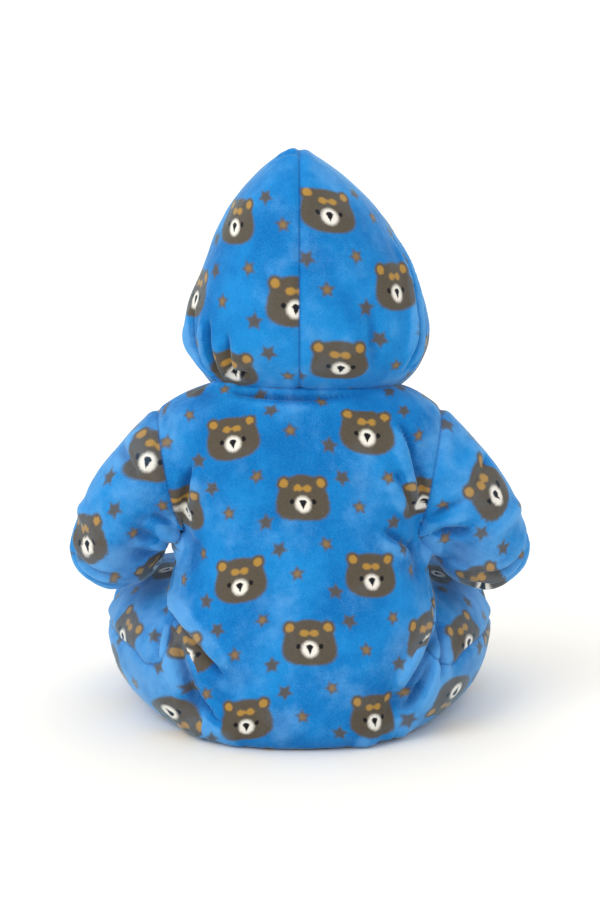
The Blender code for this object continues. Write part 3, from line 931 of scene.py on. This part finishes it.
def chained(links):   # joins pairs of keys into lists, end to end
    beside = {}
    for a, b in links:
        beside.setdefault(a, []).append(b)
        beside.setdefault(b, []).append(a)
    ends = [key for key, others in beside.items() if len(others) == 1]
    lines, seen = [], set()
    for start in ends + list(beside):
        if start in seen:
            continue
        line = [start]
        seen.add(start)
        while True:
            onward = [key for key in beside[line[-1]] if key not in seen]
            if not onward:
                break
            line.append(onward[0])
            seen.add(onward[0])
        if len(line) > 3 and line[0] in beside[line[-1]]:
            line.append(line[0])
        if len(line) >= stitchPlan["shortest"]:
            lines.append(line)
    return lines


def levelLines(piece, layer, level):   # lines on a piece where a point attribute has one value
    values, points, normals = getValues(piece, layer), pointsOf(piece), normalsOf(piece)
    links = []
    for face in piece.data.polygons:
        crossed = [(a, b) for a, b in face.edge_keys if (values[a] - level) * (values[b] - level) < 0]
        if len(crossed) == 2:
            links.append(tuple(crossed))
    lines = []
    for keys in chained(links):
        a, b = np.array(keys).T
        share = ((level - values[a]) / (values[b] - values[a]))[:, None]
        lines.append([table[a] + (table[b] - table[a]) * share for table in (points, normals)])
    return lines


def seamLines(piece, chosen):   # lines of edges whose two ends are chosen
    points, normals = pointsOf(piece), normalsOf(piece)
    links = [e.vertices[:] for e in piece.data.edges if all(chosen(points[i]) for i in e.vertices)]
    return [(points[keys], normals[keys]) for keys in chained(links)]


class Stitches:
    def __init__(self, name, sizes):
        self.name, self.sizes = name, sizes
        self.points, self.faces = [], []

    def addOne(self, start, end, normal):
        ring, profile = stitchPlan["ring"], stitchPlan["profile"]
        along = (end - start) / np.linalg.norm(end - start)
        side = np.cross(along, normal)
        side /= np.linalg.norm(side)
        upward = np.cross(side, along)
        first = len(self.points)
        for share, width in profile:
            centre = start + (end - start) * share + upward * self.sizes["lift"]
            for k in range(ring):
                angle = 2 * math.pi * k / ring
                away = math.cos(angle) * side + math.sin(angle) * upward
                self.points.append(centre + away * width * self.sizes["radius"])
        self.faces += [tuple(first + i for i in face) for face in closedFaces(len(profile), ring)]

    def run(self, line, normals):
        lengths = np.concatenate([[0], np.cumsum(np.linalg.norm(np.diff(line, axis=0), axis=1))])
        half, pitch = self.sizes["length"] / 2, self.sizes["pitch"]
        for middle in np.arange(pitch, lengths[-1] - pitch / 2, pitch):
            start, end, normal = (
                np.array([np.interp(place, lengths, table[:, k]) for k in range(3)])
                for place, table in ((middle - half, line), (middle + half, line), (middle, normals))
            )
            self.addOne(start, end, normal / np.linalg.norm(normal))


hemStitches = Stitches("hemStitching", stitchPlan["hem"])
for panel in panels.values():
    for line, normals in levelLines(panel, "hemGap", seams["hemWidth"] - stitchPlan["insideHem"]):
        hemStitches.run(line, normals)
seamStitches = Stitches("hoodSeamStitching", stitchPlan["seam"])
lowest, highest = stitchPlan["hoodSeam"]
for line, normals in seamLines(panels["hoodLeftPanel"], lambda p: abs(p[0]) < stitchPlan["seamReach"]
                               and lowest < p[2] < highest):
    seamStitches.run(line, normals)
print("stitches run")


# front placket

placketPlan = {
    "halfWidth": 0.013, "low": 0.092, "high": 0.284, "thickness": 0.0021, "gap": 0.0008,
    "step": 0.002, "columns": 15, "stitchInset": 0.0022,
    "rounding": 0.0009, "roundingWidth": 0.003, "bevel": 0.0005,
    "smoothX": 0.004, "smoothZ": 0.003,     # the strip's lie is the front's, smoothed over this far
    "rayFrom": -0.4,
    "printShift": (0.030, -0.158),          # no motif falls on the strip
}


def frontTree():
    points, faces = [], []
    for name in ("frontLeftPanel", "frontRightPanel"):
        first = len(points)
        points += pointsOf(panels[name]).tolist()
        faces += [[first + i for i in face.vertices] for face in panels[name].data.polygons]
    return BVHTree.FromPolygons(points, faces)


front = frontTree()


def frontPlace(x, z, lift):   # a place this far off the smoothed front, and the direction there
    found = []
    for dx in (-placketPlan["smoothX"], 0.0, placketPlan["smoothX"]):
        for dz in (-placketPlan["smoothZ"], 0.0, placketPlan["smoothZ"]):
            hit = front.ray_cast(Vector((x + dx, placketPlan["rayFrom"], z + dz)), Vector((0, 1, 0)))
            if hit[0]:
                found.append((hit[0].y, hit[1]))
    y = sum(item[0] for item in found) / len(found)
    normal = np.array(sum((item[1] for item in found), Vector()).normalized())
    return np.array([x, y, z]) + normal * lift, normal


onCloth = placketPlan["gap"] + seams["puff"]
onPlacket = onCloth + placketPlan["thickness"]


def makePlacket():
    plan = placketPlan
    xs = np.linspace(-plan["halfWidth"], plan["halfWidth"], plan["columns"])
    zs = np.arange(plan["low"], plan["high"] + 1e-6, plan["step"])
    points = []
    for z in zs:
        for x in xs:
            edge = min(plan["halfWidth"] - abs(x), z - plan["low"], plan["high"] - z)
            rounding = plan["rounding"] * max(0, 1 - edge / plan["roundingWidth"]) ** 2
            points.append(frontPlace(x, z, onCloth - rounding)[0])
    placket = newPiece("placketStrip", points, gridFaces(len(zs), len(xs), closed=False))
    if placket.data.polygons[0].normal.y > 0:
        placket.data.flip_normals()
    uv = placket.data.uv_layers.new(name="cloth")
    shiftX, shiftZ = plan["printShift"]
    for loop in placket.data.loops:
        x, _, z = placket.data.vertices[loop.vertex_index].co
        uv.data[loop.index].uv = (x + shiftX, z + shiftZ)
    for word, value in (("seamGap", 1.0), ("hemGap", 1.0), ("lift", 0.0)):
        setValues(placket, word, np.full(len(points), value))
    applyModifier(placket, "SOLIDIFY", thickness=plan["thickness"], offset=1.0)
    applyModifier(placket, "BEVEL", width=plan["bevel"], segments=2, limit_method="ANGLE", angle_limit=0.8)
    return placket


def stitchPlacket():
    plan = placketPlan
    inset = plan["halfWidth"] - plan["stitchInset"]
    low, high = plan["low"] + plan["stitchInset"], plan["high"] - plan["stitchInset"]
    corners = ((-inset, low), (inset, low), (inset, high), (-inset, high), (-inset, low))
    found = []
    for (xa, za), (xb, zb) in zip(corners, corners[1:]):
        count = max(int(math.hypot(xb - xa, zb - za) / plan["step"]), 2)
        found += [frontPlace(xa + (xb - xa) * t, za + (zb - za) * t, onPlacket)
                  for t in np.arange(count) / count]
    hemStitches.run(*(np.array(table) for table in zip(*found)))


placket = makePlacket()
stitchPlacket()


# buttons, each standing where the frame has its solid

buttonPlan = {
    "radius": 0.0065, "thickness": 0.0026, "rim": 0.0012, "innerRim": 0.6, "dish": 0.0007,
    "bevel": 0.0005, "sides": 48, "smoothBelow": 35,    # degrees
    "holes": 4, "holeRadius": 0.00062, "holesAt": 0.0017, "holeSides": 16, "drill": 0.01,
    "threadPast": 1.15, "threadLift": 0.0001,
}


def makeButton(number):
    plan = buttonPlan
    low, high = (np.array(corner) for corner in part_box(f"button_{number}"))
    centre = (low + high) / 2
    place, normal = frontPlace(centre[0], centre[2] + garment["neckAboveSeat"], 0)
    outward = Vector(normal)
    seat = Vector(place) + outward * onPlacket
    bpy.ops.object.select_all(action="DESELECT")
    bpy.ops.mesh.primitive_cylinder_add(vertices=plan["sides"], radius=plan["radius"],
                                        depth=plan["thickness"])
    button = bpy.context.object
    button.name = f"button{number}"
    bpy.ops.object.mode_set(mode="EDIT")
    bpy.ops.mesh.select_all(action="DESELECT")
    bpy.ops.object.mode_set(mode="OBJECT")
    for face in button.data.polygons:
        face.select = face.normal.z > 0.9
    bpy.ops.object.mode_set(mode="EDIT")
    bpy.ops.mesh.inset(thickness=plan["rim"])
    bpy.ops.mesh.inset(thickness=plan["rim"] * plan["innerRim"])
    bpy.ops.transform.translate(value=(0, 0, -plan["dish"]))
    bpy.ops.object.mode_set(mode="OBJECT")
    applyModifier(button, "BEVEL", width=plan["bevel"], segments=3, limit_method="ANGLE", angle_limit=0.5)
    for k in range(plan["holes"]):
        angle = math.pi / 4 + k * math.pi / 2
        at = (plan["holesAt"] * math.cos(angle), plan["holesAt"] * math.sin(angle), 0)
        bpy.ops.object.select_all(action="DESELECT")
        bpy.ops.mesh.primitive_cylinder_add(vertices=plan["holeSides"], radius=plan["holeRadius"],
                                            depth=plan["drill"], location=at)
        drill = bpy.context.object
        applyModifier(button, "BOOLEAN", operation="DIFFERENCE", object=drill, solver="EXACT")
        bpy.data.objects.remove(drill, do_unlink=True)
    turn = Vector((0, 0, 1)).rotation_difference(outward).to_matrix().to_4x4()
    turn.translation = seat + outward * plan["thickness"] / 2
    button.data.transform(turn)
    button.data.shade_smooth()
    only(button)
    bpy.ops.object.shade_smooth_by_angle(angle=math.radians(plan["smoothBelow"]))
    reach = plan["holesAt"] * math.cos(math.pi / 4) * plan["threadPast"]
    level = plan["thickness"] / 2 - plan["dish"] + plan["threadLift"]
    for side in (-1, 1):   # two runs of thread between the holes
        start, end = (np.array(turn @ Vector((side * reach / plan["threadPast"], way * reach, level)))
                      for way in (-1, 1))
        buttonThread.addOne(start, end, normal)
    return button


buttonThread = Stitches("buttonThread", stitchPlan["button"])
buttons = [makeButton(number) for number in range(1, 6)]
print("placket and buttons made")


# materials

colours = {   # linear
    "deepBlue": (0.0005, 0.142, 0.440, 1), "lightBlue": (0.008, 0.232, 0.610, 1),
    # painted light in this table: the hollow and groove colours are painted shade, and the milk colour is
    # painted sheen over a milky nap tone
    "hollow": (0.001, 0.070, 0.270, 1), "grooveShade": (0.002, 0.090, 0.330, 1),
    "milkAndSheen": (0.220, 0.480, 0.820, 1), "sheenTint": (0.50, 0.78, 1.0, 1), "inside": (0.012, 0.225, 0.600, 1),
    "brown": (0.089, 0.066, 0.033, 1), "lightBrown": (0.128, 0.095, 0.050, 1),
    "gold": (0.420, 0.235, 0.045, 1), "muzzle": (0.800, 0.770, 0.700, 1), "black": (0.010, 0.008, 0.009, 1),
    "thread": (0.006, 0.170, 0.520, 1), "seamThread": (0.002, 0.060, 0.210, 1),
    "button": (0.004, 0.130, 0.430, 1), "lightButton": (0.010, 0.210, 0.560, 1),
    "floor": (0.945, 0.915, 0.862, 1), "lightFloor": (0.930, 0.905, 0.862, 1),
}
printPlan = {
    "across": 0.118, "down": 0.0640,    # one motif to the next, and one row to the next
    "highest": 0.189,                   # above this the hood's crown is plain
    # one over the other: motif, width of its edge in the nap, strength, ink
    "layers": (("stars", 0.0035, 0.90, "brown"), ("starMiddles", 0.0040, 0.45, "gold"),
               ("bear", 0.0035, 0.96, "brown"), ("gold", 0.0022, 0.90, "gold"),
               ("muzzle", 0.0042, 1.0, "muzzle"), ("black", 0.0012, 1.0, "black")),
    "head": (0.0238, 0.0203), "narrowing": 8.5, "squareness": 2.4, "join": 0.005,
    "ear": 0.0064, "earAt": (0.0167, 0.0140), "earInside": 0.0038,
    "patch": (0.0038, 0.0030), "patchAt": (0.0044, 0.0082), "patchLink": (0.0046, 0.0012),
    "patchJoin": 0.0012, "eye": 0.0020, "eyeTall": 1.15, "eyeAt": (0.0100, -0.0032),
    "muzzleRadius": 0.0071, "muzzleAt": (0.0, -0.0060),
    "nose": {"halfWidth": 0.0034, "top": -0.0032, "tip": -0.0106,
             "at": (0.0, -0.0041), "size": (0.0031, 0.0023)},
    # stars: x, y, radius, turn, gold centre
    "stars": ((0.036, 0.021, 0.0073, 0.3, 0), (0.051, -0.003, 0.0066, 0.9, 1),
              (-0.034, -0.017, 0.0074, 1.0, 0), (-0.040, 0.025, 0.0066, 0.5, 1)),
    "starInner": 0.58, "starMiddle": 0.42,      # shares of the radius
}
napPlan = {
    # noises: scale, detail, roughness
    "wander": (520.0, 3.0, 0.7), "patches": (17.0, 2.0, 0.5), "strokes": (90.0, 2.0, 0.6),
    "fibre": (560.0, 2.0, 0.6), "grain": (900.0, 2.0, 0.7), "milkAndSheen": (21.0, 3.0, 0.55),
    "fluff": (650.0, 3.0, 0.7),
    # where each begins and is full: in noise, metres of lift, height, side and gap
    "lightBand": (0.40, 0.92), "shadeBand": (0.30, 0.70), "milkBand": (0.55, 1.05),
    "ridgeBand": (0.0006, 0.0036), "hollowBand": (-0.0004, -0.0050),
    "limbBand": (0.07, 0.15), "legBand": (-0.08, -0.18), "grooveBand": (0.0022, 0.0002),
    # how strongly; the ridge and hollow shares are painted highlight and painted shade, groove is painted
    # shade, and the milky shares are painted sheen
    "drift": 0.0022, "light": {"strokes": 0.30, "ridge": 0.55, "hollow": 0.6, "shade": 0.26, "even": 0.13},
    "milky": {"strokes": 0.22, "ridge": 0.22, "limbs": 0.14, "legs": 0.10, "grain": 1.0},
    "hollow": 0.45, "brownShade": 0.35, "milkOnBlue": 0.36, "milkOnPrint": 0.08, "grooveShade": 0.40,
    "fluffBump": (0.35, 0.0009), "strokeBump": (0.25, 0.003),
    "roughness": (0.80, 0.10), "sheen": 0.60, "sheenRoughness": 0.30, "specular": 0.10,
}
plainPlan = {   # noises, bands and shares as for the nap, for inner cloth and threads
    "patches": (30.0, 3.0, 0.6), "patchBand": (0.3, 0.7), "patchShare": 0.5,
    "loops": (520.0, 3.0, 0.65), "loopBand": (0.35, 0.7), "loopShare": 0.3, "bump": (0.5, 0.0010),
    "roughness": (0.85, 0.08), "sheenRoughness": 0.4, "specular": 0.2,
}
plasticPlan = {
    "cloud": (240.0, 2.0, 0.5), "cloudBand": (0.3, 0.75), "cloudShare": 0.35,
    "scuff": (1500.0, 2.0, 0.6), "scuffBand": (0.4, 0.8), "bump": (0.08, 0.0003),
    "roughness": (0.22, 0.14), "specular": 0.5,
}
floorPlan = {"patches": (2.0, 2.0, 0.5), "patchShare": 0.15, "roughness": 0.9, "specular": 0.1}


class Term:   # a number or colour on its way through a shader, that can be used in sums
    def __init__(self, maker, socket):
        self.maker, self.socket = maker, socket

    def math(self, operation, *others):
        return self.maker.add("ShaderNodeMath", (self, *others), operation=operation)

    def __add__(self, other):
        return self.math("ADD", other)

    def __sub__(self, other):
        return self.math("SUBTRACT", other)

    def __mul__(self, other):
        return self.math("MULTIPLY", other)

    def __truediv__(self, other):
        return self.math("DIVIDE", other)

    def __pow__(self, other):
        return self.math("POWER", other)

    def __rsub__(self, other):
        return self.maker.add("ShaderNodeMath", (other, self), operation="SUBTRACT")

    def __abs__(self):
        return self.math("ABSOLUTE")

    __radd__ = __add__
    __rmul__ = __mul__


class Shader:
    def __init__(self, name):
        self.material = bpy.data.materials.new(name)
        self.material.use_nodes = True
        self.tree = self.material.node_tree
        self.tree.nodes.clear()
        self.place = self.add("ShaderNodeTexCoord", output=3)

    def add(self, kind, inputs=(), output=0, **settings):
        node = self.tree.nodes.new(kind)
        for key, value in settings.items():
            setattr(node, key, value)
        for key, value in inputs.items() if isinstance(inputs, dict) else enumerate(inputs):
            if isinstance(value, Term):
                self.tree.links.new(value.socket, node.inputs[key])
            else:
                node.inputs[key].default_value = value
        return Term(self, node.outputs[output])

    def mix(self, share, a, b):
        return self.add("ShaderNodeMix", {0: share, 6: a, 7: b}, output=2, data_type="RGBA")

    def clamp(self, value):
        return self.add("ShaderNodeClamp", (value, 0.0, 1.0))

    def noise(self, scale, detail, roughness, output=0):
        inputs = {"Vector": self.place, "Scale": scale, "Detail": detail, "Roughness": roughness}
        return self.add("ShaderNodeTexNoise", inputs, output)

    def band(self, value, low, high):   # 0 below low, 1 above high, smooth between
        inputs = {0: value, 1: low, 2: high, 3: 0.0, 4: 1.0}
        return self.add("ShaderNodeMapRange", inputs, interpolation_type="SMOOTHSTEP")

    def bump(self, height, strength, distance, **others):
        inputs = {"Strength": strength, "Distance": distance, "Height": height, **others}
        return self.add("ShaderNodeBump", inputs)

    def attribute(self, name):
        return self.add("ShaderNodeAttribute", output=2, attribute_name=name)

    def finish(self, **inputs):
        names = {"colour": "Base Color", "roughness": "Roughness", "normal": "Normal",
                 "sheen": "Sheen Weight", "sheenRoughness": "Sheen Roughness", "sheenTint": "Sheen Tint",
                 "specular": "Specular IOR Level"}
        shader = self.add("ShaderNodeBsdfPrincipled", {names[key]: value for key, value in inputs.items()})
        end = self.tree.nodes.new("ShaderNodeOutputMaterial")
        self.tree.links.new(shader.socket, end.inputs[0])
        return self.material


def oval(x, y, at, size):   # distance, in metres, outside an oval
    a, b = size
    ratio = (((x - at[0]) / a) ** 2.0 + ((y - at[1]) / b) ** 2.0) ** 0.5
    return (ratio - 1.0) * min(a, b)


def star(x, y, at, radius, turn):   # distance outside a five-pointed star
    inner, fifth = radius * printPlan["starInner"], math.pi / 5
    dx, dy = x - at[0], y - at[1]
    angle = dy.math("ARCTAN2", dx) + turn
    folded = abs((angle / (2 * fifth)).math("FRACT") - 0.5) * (2 * fifth)
    away = (dx * dx + dy * dy) ** 0.5
    tip = fifth - folded
    px, py = away * tip.math("COSINE"), away * tip.math("SINE")
    vx, vy = inner * math.cos(fifth) - radius, inner * math.sin(fifth)
    long = math.hypot(vx, vy)
    return (px - radius) * (vy / long) + py * (-vx / long)


def motifs(maker, x, y):   # distances outside each colour of the print
    plan, side = printPlan, abs(x)
    wide, tall = plan["head"]
    narrowing = 1.0 + y * plan["narrowing"]     # the head is narrower at the top
    head = (side * narrowing / wide) ** plan["squareness"] + (abs(y) / tall) ** plan["squareness"]
    head = (head ** (1 / plan["squareness"]) - 1.0) * tall
    ear = oval(side, y, plan["earAt"], (plan["ear"], plan["ear"]))
    stars = [star(x, y, (sx, sy), radius, turn) for sx, sy, radius, turn, _ in plan["stars"]]
    middles = [oval(x, y, (sx, sy), (radius * plan["starMiddle"],) * 2)
               for sx, sy, radius, _, golden in plan["stars"] if golden]
    gold = oval(side, y, plan["patchAt"], plan["patch"])
    link = oval(x, y, (0.0, plan["patchAt"][1]), plan["patchLink"])
    gold = gold.math("SMOOTH_MIN", link, plan["patchJoin"])
    gold = gold.math("MINIMUM", oval(side, y, plan["earAt"], (plan["earInside"], plan["earInside"])))
    eyes = oval(side, y, plan["eyeAt"], (plan["eye"], plan["eye"] * plan["eyeTall"]))
    drop = plan["nose"]
    down = maker.clamp((y - drop["tip"]) / (drop["top"] - drop["tip"]))
    nose = (side - down * drop["halfWidth"]).math("MAXIMUM", y - drop["top"])
    nose = nose.math("MAXIMUM", drop["tip"] - y).math("MINIMUM", oval(x, y, drop["at"], drop["size"]))
    return {
        "stars": functools.reduce(lambda a, b: a.math("MINIMUM", b), stars),
        "starMiddles": functools.reduce(lambda a, b: a.math("MINIMUM", b), middles),
        "bear": head.math("SMOOTH_MIN", ear, plan["join"]),
        "gold": gold,
        "muzzle": oval(x, y, plan["muzzleAt"], (plan["muzzleRadius"], plan["muzzleRadius"])),
        "black": eyes.math("MINIMUM", nose),
    }


def printedFleece():
    maker = Shader("printedFleece")
    plan, nap = printPlan, napPlan
    cloth = maker.add("ShaderNodeUVMap", uv_map="cloth")
    # the print's edges wander a little in the nap
    wander = maker.noise(*nap["wander"], output=1)
    drift = maker.add("ShaderNodeVectorMath", (wander, (0.5, 0.5, 0.5)), operation="SUBTRACT")
    drift = maker.add("ShaderNodeVectorMath", {0: drift, 3: nap["drift"]}, operation="SCALE")
    moved = maker.add("ShaderNodeVectorMath", (cloth, drift), operation="ADD")
    split = maker.add("ShaderNodeSeparateXYZ", (moved,)).socket.node
    u, v = (Term(maker, split.outputs[k]) for k in (0, 1))
    row = (v / plan["down"] + 0.5).math("FLOOR")
    odd = (row * 0.5).math("FRACT") * 2.0
    half = plan["across"] / 2
    x = ((u + odd * half + half) / plan["across"]).math("FRACT") * plan["across"] - half
    distances = motifs(maker, x, v - row * plan["down"])
    height = maker.add("ShaderNodeSeparateXYZ", (maker.place,), output=2)

    # the nap lies this way and that in soft patches, a random tone; on top of that, crease ridges get
    # painted highlight and crease hollows painted shade
    strokes = maker.noise(*nap["strokes"])
    shade = maker.band(maker.noise(*nap["fibre"]), *nap["shadeBand"])
    lift = maker.attribute("lift")
    ridge, hollow = maker.band(lift, *nap["ridgeBand"]), maker.band(lift, *nap["hollowBand"])
    share = nap["light"]
    light = maker.band(maker.noise(*nap["patches"]) + strokes * share["strokes"], *nap["lightBand"])
    light = light + ridge * share["ridge"] - hollow * share["hollow"]
    light = maker.clamp(light + shade * share["shade"] - share["even"])
    blue = maker.mix(light, colours["deepBlue"], colours["lightBlue"])
    # painted shade: the hollows of creases are darkened towards the hollow colour
    blue = maker.mix(hollow * nap["hollow"], blue, colours["hollow"])
    brown = maker.mix(shade * nap["brownShade"], colours["brown"], colours["lightBrown"])
    # a milky tone in random nap patches and grain, plus painted sheen: on crease ridges, towards the
    # garment's sides, and most on the arms and legs
    limbs = maker.band(abs(maker.add("ShaderNodeSeparateXYZ", (maker.place,), output=0)), *nap["limbBand"])
    legs = maker.band(height, *nap["legBand"]) * limbs
    share = nap["milky"]
    milkAndSheen = maker.noise(*nap["milkAndSheen"]) + strokes * share["strokes"] + ridge * share["ridge"]
    milkAndSheen = maker.band(milkAndSheen + limbs * share["limbs"] + legs * share["legs"], *nap["milkBand"])
    milkAndSheen = maker.clamp(milkAndSheen + (maker.noise(*nap["grain"]) - 0.5) * share["grain"])
    blue = maker.mix(milkAndSheen * nap["milkOnBlue"], blue, colours["milkAndSheen"])
    printed, inks = blue, {**colours, "brown": brown}
    for name, edge, strength, ink in plan["layers"]:
        distance = distances[name].math("MAXIMUM", height - plan["highest"])   # none reaches the crown
        printed = maker.mix(maker.band(distance, edge / 2, -edge / 2) * strength, printed, inks[ink])
    # the same painted sheen lies faintly over the print
    printed = maker.mix(milkAndSheen * nap["milkOnPrint"], printed, colours["milkAndSheen"])
    # painted shade along the seam grooves
    grooveShade = maker.band(maker.attribute("seamGap"), *nap["grooveBand"])
    printed = maker.mix(grooveShade * nap["grooveShade"], printed, colours["grooveShade"])
    dull, shine = nap["roughness"]
    bump = maker.bump(maker.noise(*nap["fluff"]), *nap["fluffBump"])
    bump = maker.bump(strokes, *nap["strokeBump"], Normal=bump)
    return maker.finish(colour=printed, roughness=dull - light * shine, normal=bump,
                        sheen=nap["sheen"], sheenRoughness=nap["sheenRoughness"],
                        sheenTint=colours["sheenTint"], specular=nap["specular"])


def plainCloth(name, colour, dark, sheen):
    maker, plan = Shader(name), plainPlan
    patches = maker.band(maker.noise(*plan["patches"]), *plan["patchBand"])
    loops = maker.noise(*plan["loops"])
    shade = maker.mix(patches * plan["patchShare"], colours[colour], colours[dark])
    shade = maker.mix(maker.band(loops, *plan["loopBand"]) * plan["loopShare"], shade, colours[dark])
    dull, shine = plan["roughness"]
    return maker.finish(colour=shade, roughness=dull - patches * shine,
                        normal=maker.bump(loops, *plan["bump"]), sheen=sheen,
                        sheenRoughness=plan["sheenRoughness"], sheenTint=colours["sheenTint"],
                        specular=plan["specular"])


def buttonPlastic():
    maker, plan = Shader("buttonPlastic"), plasticPlan
    cloud = maker.band(maker.noise(*plan["cloud"]), *plan["cloudBand"])
    shade = maker.mix(cloud * plan["cloudShare"], colours["button"], colours["lightButton"])
    scuff = maker.noise(*plan["scuff"])
    shine, dull = plan["roughness"]
    return maker.finish(colour=shade, roughness=shine + maker.band(scuff, *plan["scuffBand"]) * dull,
                        normal=maker.bump(scuff, *plan["bump"]), specular=plan["specular"])


def floorMaterial():
    maker, plan = Shader("floorPaint"), floorPlan
    patches = maker.noise(*plan["patches"]) * plan["patchShare"]
    shade = maker.mix(patches, colours["floor"], colours["lightFloor"])
    return maker.finish(colour=shade, roughness=plan["roughness"], specular=plan["specular"])


outerCloth = printedFleece()
innerCloth = plainCloth("plainFleece", "inside", "deepBlue", 0.35)
threadCloth = plainCloth("blueThread", "thread", "seamThread", 0.2)
darkThread = plainCloth("seamThread", "seamThread", "seamThread", 0.1)
plastic = buttonPlastic()
print("materials made")


# putting it together: node, flat width, flat length and flat area of each cut piece

cuts = {
    "backPanel": ("back", 0.50, 0.66, 0.235),
    "frontLeftPanel": ("front_left", 0.26, 0.50, 0.080),
    "frontRightPanel": ("front_right", 0.26, 0.50, 0.080),
    "sleeveLeftPanel": ("sleeve_left", 0.30, 0.26, 0.066),
    "sleeveRightPanel": ("sleeve_right", 0.30, 0.26, 0.066),
    "hoodLeftPanel": ("hood_left", 0.25, 0.30, 0.057),
    "hoodRightPanel": ("hood_right", 0.25, 0.30, 0.057),
}


def thicken(piece):   # gives the panel its wall, doubled where the hem is turned in
    group = piece.vertex_groups.new(name="hem")
    for index, gap in enumerate(getValues(piece, "hemGap")):
        inHem = gap < seams["hemWidth"] - seams["hemStep"]
        group.add([index], 1.0 if inHem else garment["singleShare"], "REPLACE")
    applyModifier(piece, "SOLIDIFY", thickness=garment["wall"] / garment["singleShare"], offset=-1.0,
                  vertex_group="hem", material_offset=1, material_offset_rim=0)
    piece.vertex_groups.clear()


def finishPiece(piece, *nodes, slot="fleece", smooth=True):
    flat = pointsOf(piece)
    flat[:, 2] -= garment["neckAboveSeat"]
    piece.data.vertices.foreach_set("co", flat.ravel())
    piece.data.update()
    if smooth:
        piece.data.shade_smooth()
    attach(piece, "root")
    if nodes:
        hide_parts(*nodes)
    print(piece.name, len(piece.data.polygons), "faces")


for name, (node, width, length, area) in cuts.items():
    panel = panels[name]
    panel.data.materials.append(outerCloth)
    panel.data.materials.append(innerCloth)
    thicken(panel)
    finishPiece(panel, node)
placket.data.materials.append(outerCloth)
finishPiece(placket, "placket")
for stitches, material in (
    (hemStitches, threadCloth), (seamStitches, darkThread), (buttonThread, darkThread),
):
    piece = newPiece(stitches.name, stitches.points, stitches.faces)
    piece.data.materials.append(material)
    finishPiece(piece)
for number, button in enumerate(buttons, 1):
    button.data.materials.append(plastic)
    finishPiece(button, f"button_{number}", slot="button", smooth=False)
print("pieces placed")


# floor, lights and camera

studio = {
    "lens": 100.0, "distance": 2.175, "elevation": 12.0, "target": (-0.0005, 0.10, -0.035),
    "floorSize": 120.0, "floorBelow": 0.0003, "world": 1.0, "worldColour": (0.985, 0.985, 0.976, 1),
    # suns: name, place, strength, spread in degrees, colour; each shines from its place at the garment
    "suns": (("key", (1.5, 1.4, 1.7), 1.10, 36.0, (1.0, 0.985, 0.96)),
             ("top", (-0.3, -1.2, 2.0), 0.40, 60.0, (1.0, 1.0, 1.0))),
}


def makeStage():
    floorLevel = cadBox[0][2] - studio["floorBelow"]
    bpy.ops.object.select_all(action="DESELECT")
    bpy.ops.mesh.primitive_plane_add(size=studio["floorSize"], location=(0, 0, floorLevel))
    floor = bpy.context.object
    floor.name = "floor"
    floor.data.materials.append(floorMaterial())


def makeLights():
    for name, place, strength, spread, colour in studio["suns"]:
        data = bpy.data.lights.new(name, "SUN")
        data.energy, data.angle, data.color = strength, math.radians(spread), colour
        lamp = linked(name, data)
        lamp.location = place
        lamp.rotation_euler = (-Vector(place)).to_track_quat("-Z", "Y").to_euler()
    world = bpy.data.worlds.new("studio")
    world.use_nodes = True
    background = world.node_tree.nodes["Background"]
    background.inputs[0].default_value = studio["worldColour"]
    background.inputs[1].default_value = studio["world"]
    bpy.context.scene.world = world
    bpy.context.scene.view_settings.view_transform = "Standard"


def makeCamera():
    data = bpy.data.cameras.new("camera")
    data.lens = studio["lens"]
    camera = linked("camera", data)
    lift = math.radians(studio["elevation"])
    target = Vector(studio["target"])
    camera.location = target + Vector((0, math.cos(lift), math.sin(lift))) * studio["distance"]
    camera.rotation_euler = (target - camera.location).to_track_quat("-Z", "Y").to_euler()
    bpy.context.scene.camera = camera


makeStage()
makeLights()
makeCamera()
